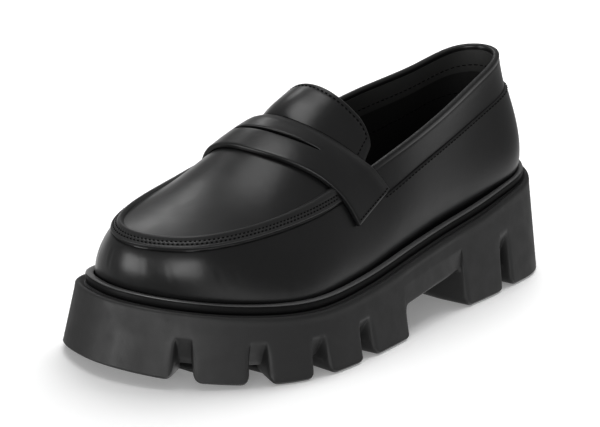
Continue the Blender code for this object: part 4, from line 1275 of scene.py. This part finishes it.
def add_floor():
    mesh = bpy.data.meshes.new("studio_floor")
    half = FLOOR_HALF
    corners = [(-half, -half, 0), (half, -half, 0), (half, half, 0), (-half, half, 0)]
    mesh.from_pydata(corners, [], [(0, 1, 2, 3)])
    paper = new_material("studio_floor", **FLOOR_PAPER)
    shader = paper.node_tree.nodes["Principled BSDF"]
    set_inputs(shader, {"Emission Color": WHITE, "Emission Strength": FLOOR_GLOW})
    mesh.materials.append(paper)
    floor = bpy.data.objects.new("studio_floor", mesh)
    floor.visible_glossy = False
    bpy.context.scene.collection.objects.link(floor)


def add_light(name, place, size, power, mirrored):
    """Soft box at a place, aimed at the shoe."""
    light = bpy.data.lights.new(name, "AREA")
    light.shape = "RECTANGLE"
    light.size, light.size_y = size
    light.energy = power
    item = bpy.data.objects.new(name, light)
    item.location = place
    item.visible_glossy = mirrored
    item.rotation_euler = (Vector(AIM) - Vector(place)).to_track_quat("-Z", "Y").to_euler()
    bpy.context.scene.collection.objects.link(item)


def add_camera():
    turn, tilt = np.radians(CAMERA_AZIMUTH), np.radians(CAMERA_ELEVATION)
    back = Vector((np.sin(turn) * np.cos(tilt), -np.cos(turn) * np.cos(tilt), np.sin(tilt)))
    place = Vector((SHIFT * MM).tolist()) + back * CAMERA_DISTANCE
    camera = bpy.data.cameras.new("camera")
    camera.lens = CAMERA_LENS
    camera.sensor_width = SENSOR
    item = bpy.data.objects.new("camera", camera)
    look = (Vector(CAMERA_AIM) - place).to_track_quat("-Z", "Y").to_matrix().to_4x4()
    item.matrix_world = Matrix.Translation(place) @ look @ Matrix.Rotation(np.radians(CAMERA_ROLL), 4, "Z")
    bpy.context.scene.collection.objects.link(item)
    bpy.context.scene.camera = item


def set_world():
    world = bpy.data.worlds.new("studio")
    world.use_nodes = True
    nodes, links = world.node_tree.nodes, world.node_tree.links
    place = nodes.new("ShaderNodeTexCoord")

    def toward(way, low, high):
        """Share from 0 to 1 of how far a direction points a given way."""
        along = nodes.new("ShaderNodeVectorMath")
        along.operation = "DOT_PRODUCT"
        along.inputs[1].default_value = way
        links.new(place.outputs["Generated"], along.inputs[0])
        share = nodes.new("ShaderNodeMapRange")
        share.interpolation_type = "SMOOTHSTEP"
        set_inputs(share, {"From Min": low, "From Max": high})
        links.new(along.outputs["Value"], share.inputs["Value"])
        return share.outputs["Result"]

    def math(operation, *terms):
        """Math node on numbers or sockets."""
        node = nodes.new("ShaderNodeMath")
        node.operation = operation
        for socket, term in zip(node.inputs, terms):
            if isinstance(term, float):
                socket.default_value = term
            else:
                links.new(term, socket)
        return node.outputs["Value"]

    total = SKY
    for strength, ways in GLOWS:
        glow = strength
        for way, (low, high) in ways:
            glow = math("MULTIPLY", toward(way, low, high), glow)
        total = math("ADD", glow, total)
    links.new(total, nodes["Background"].inputs["Strength"])
    set_inputs(nodes["Background"], {"Color": WHITE})
    bpy.context.scene.world = world
    bpy.context.scene.view_settings.view_transform = "Standard"


build_shoe()
add_floor()
set_world()
for light in LIGHTS:
    add_light(*light)
add_camera()
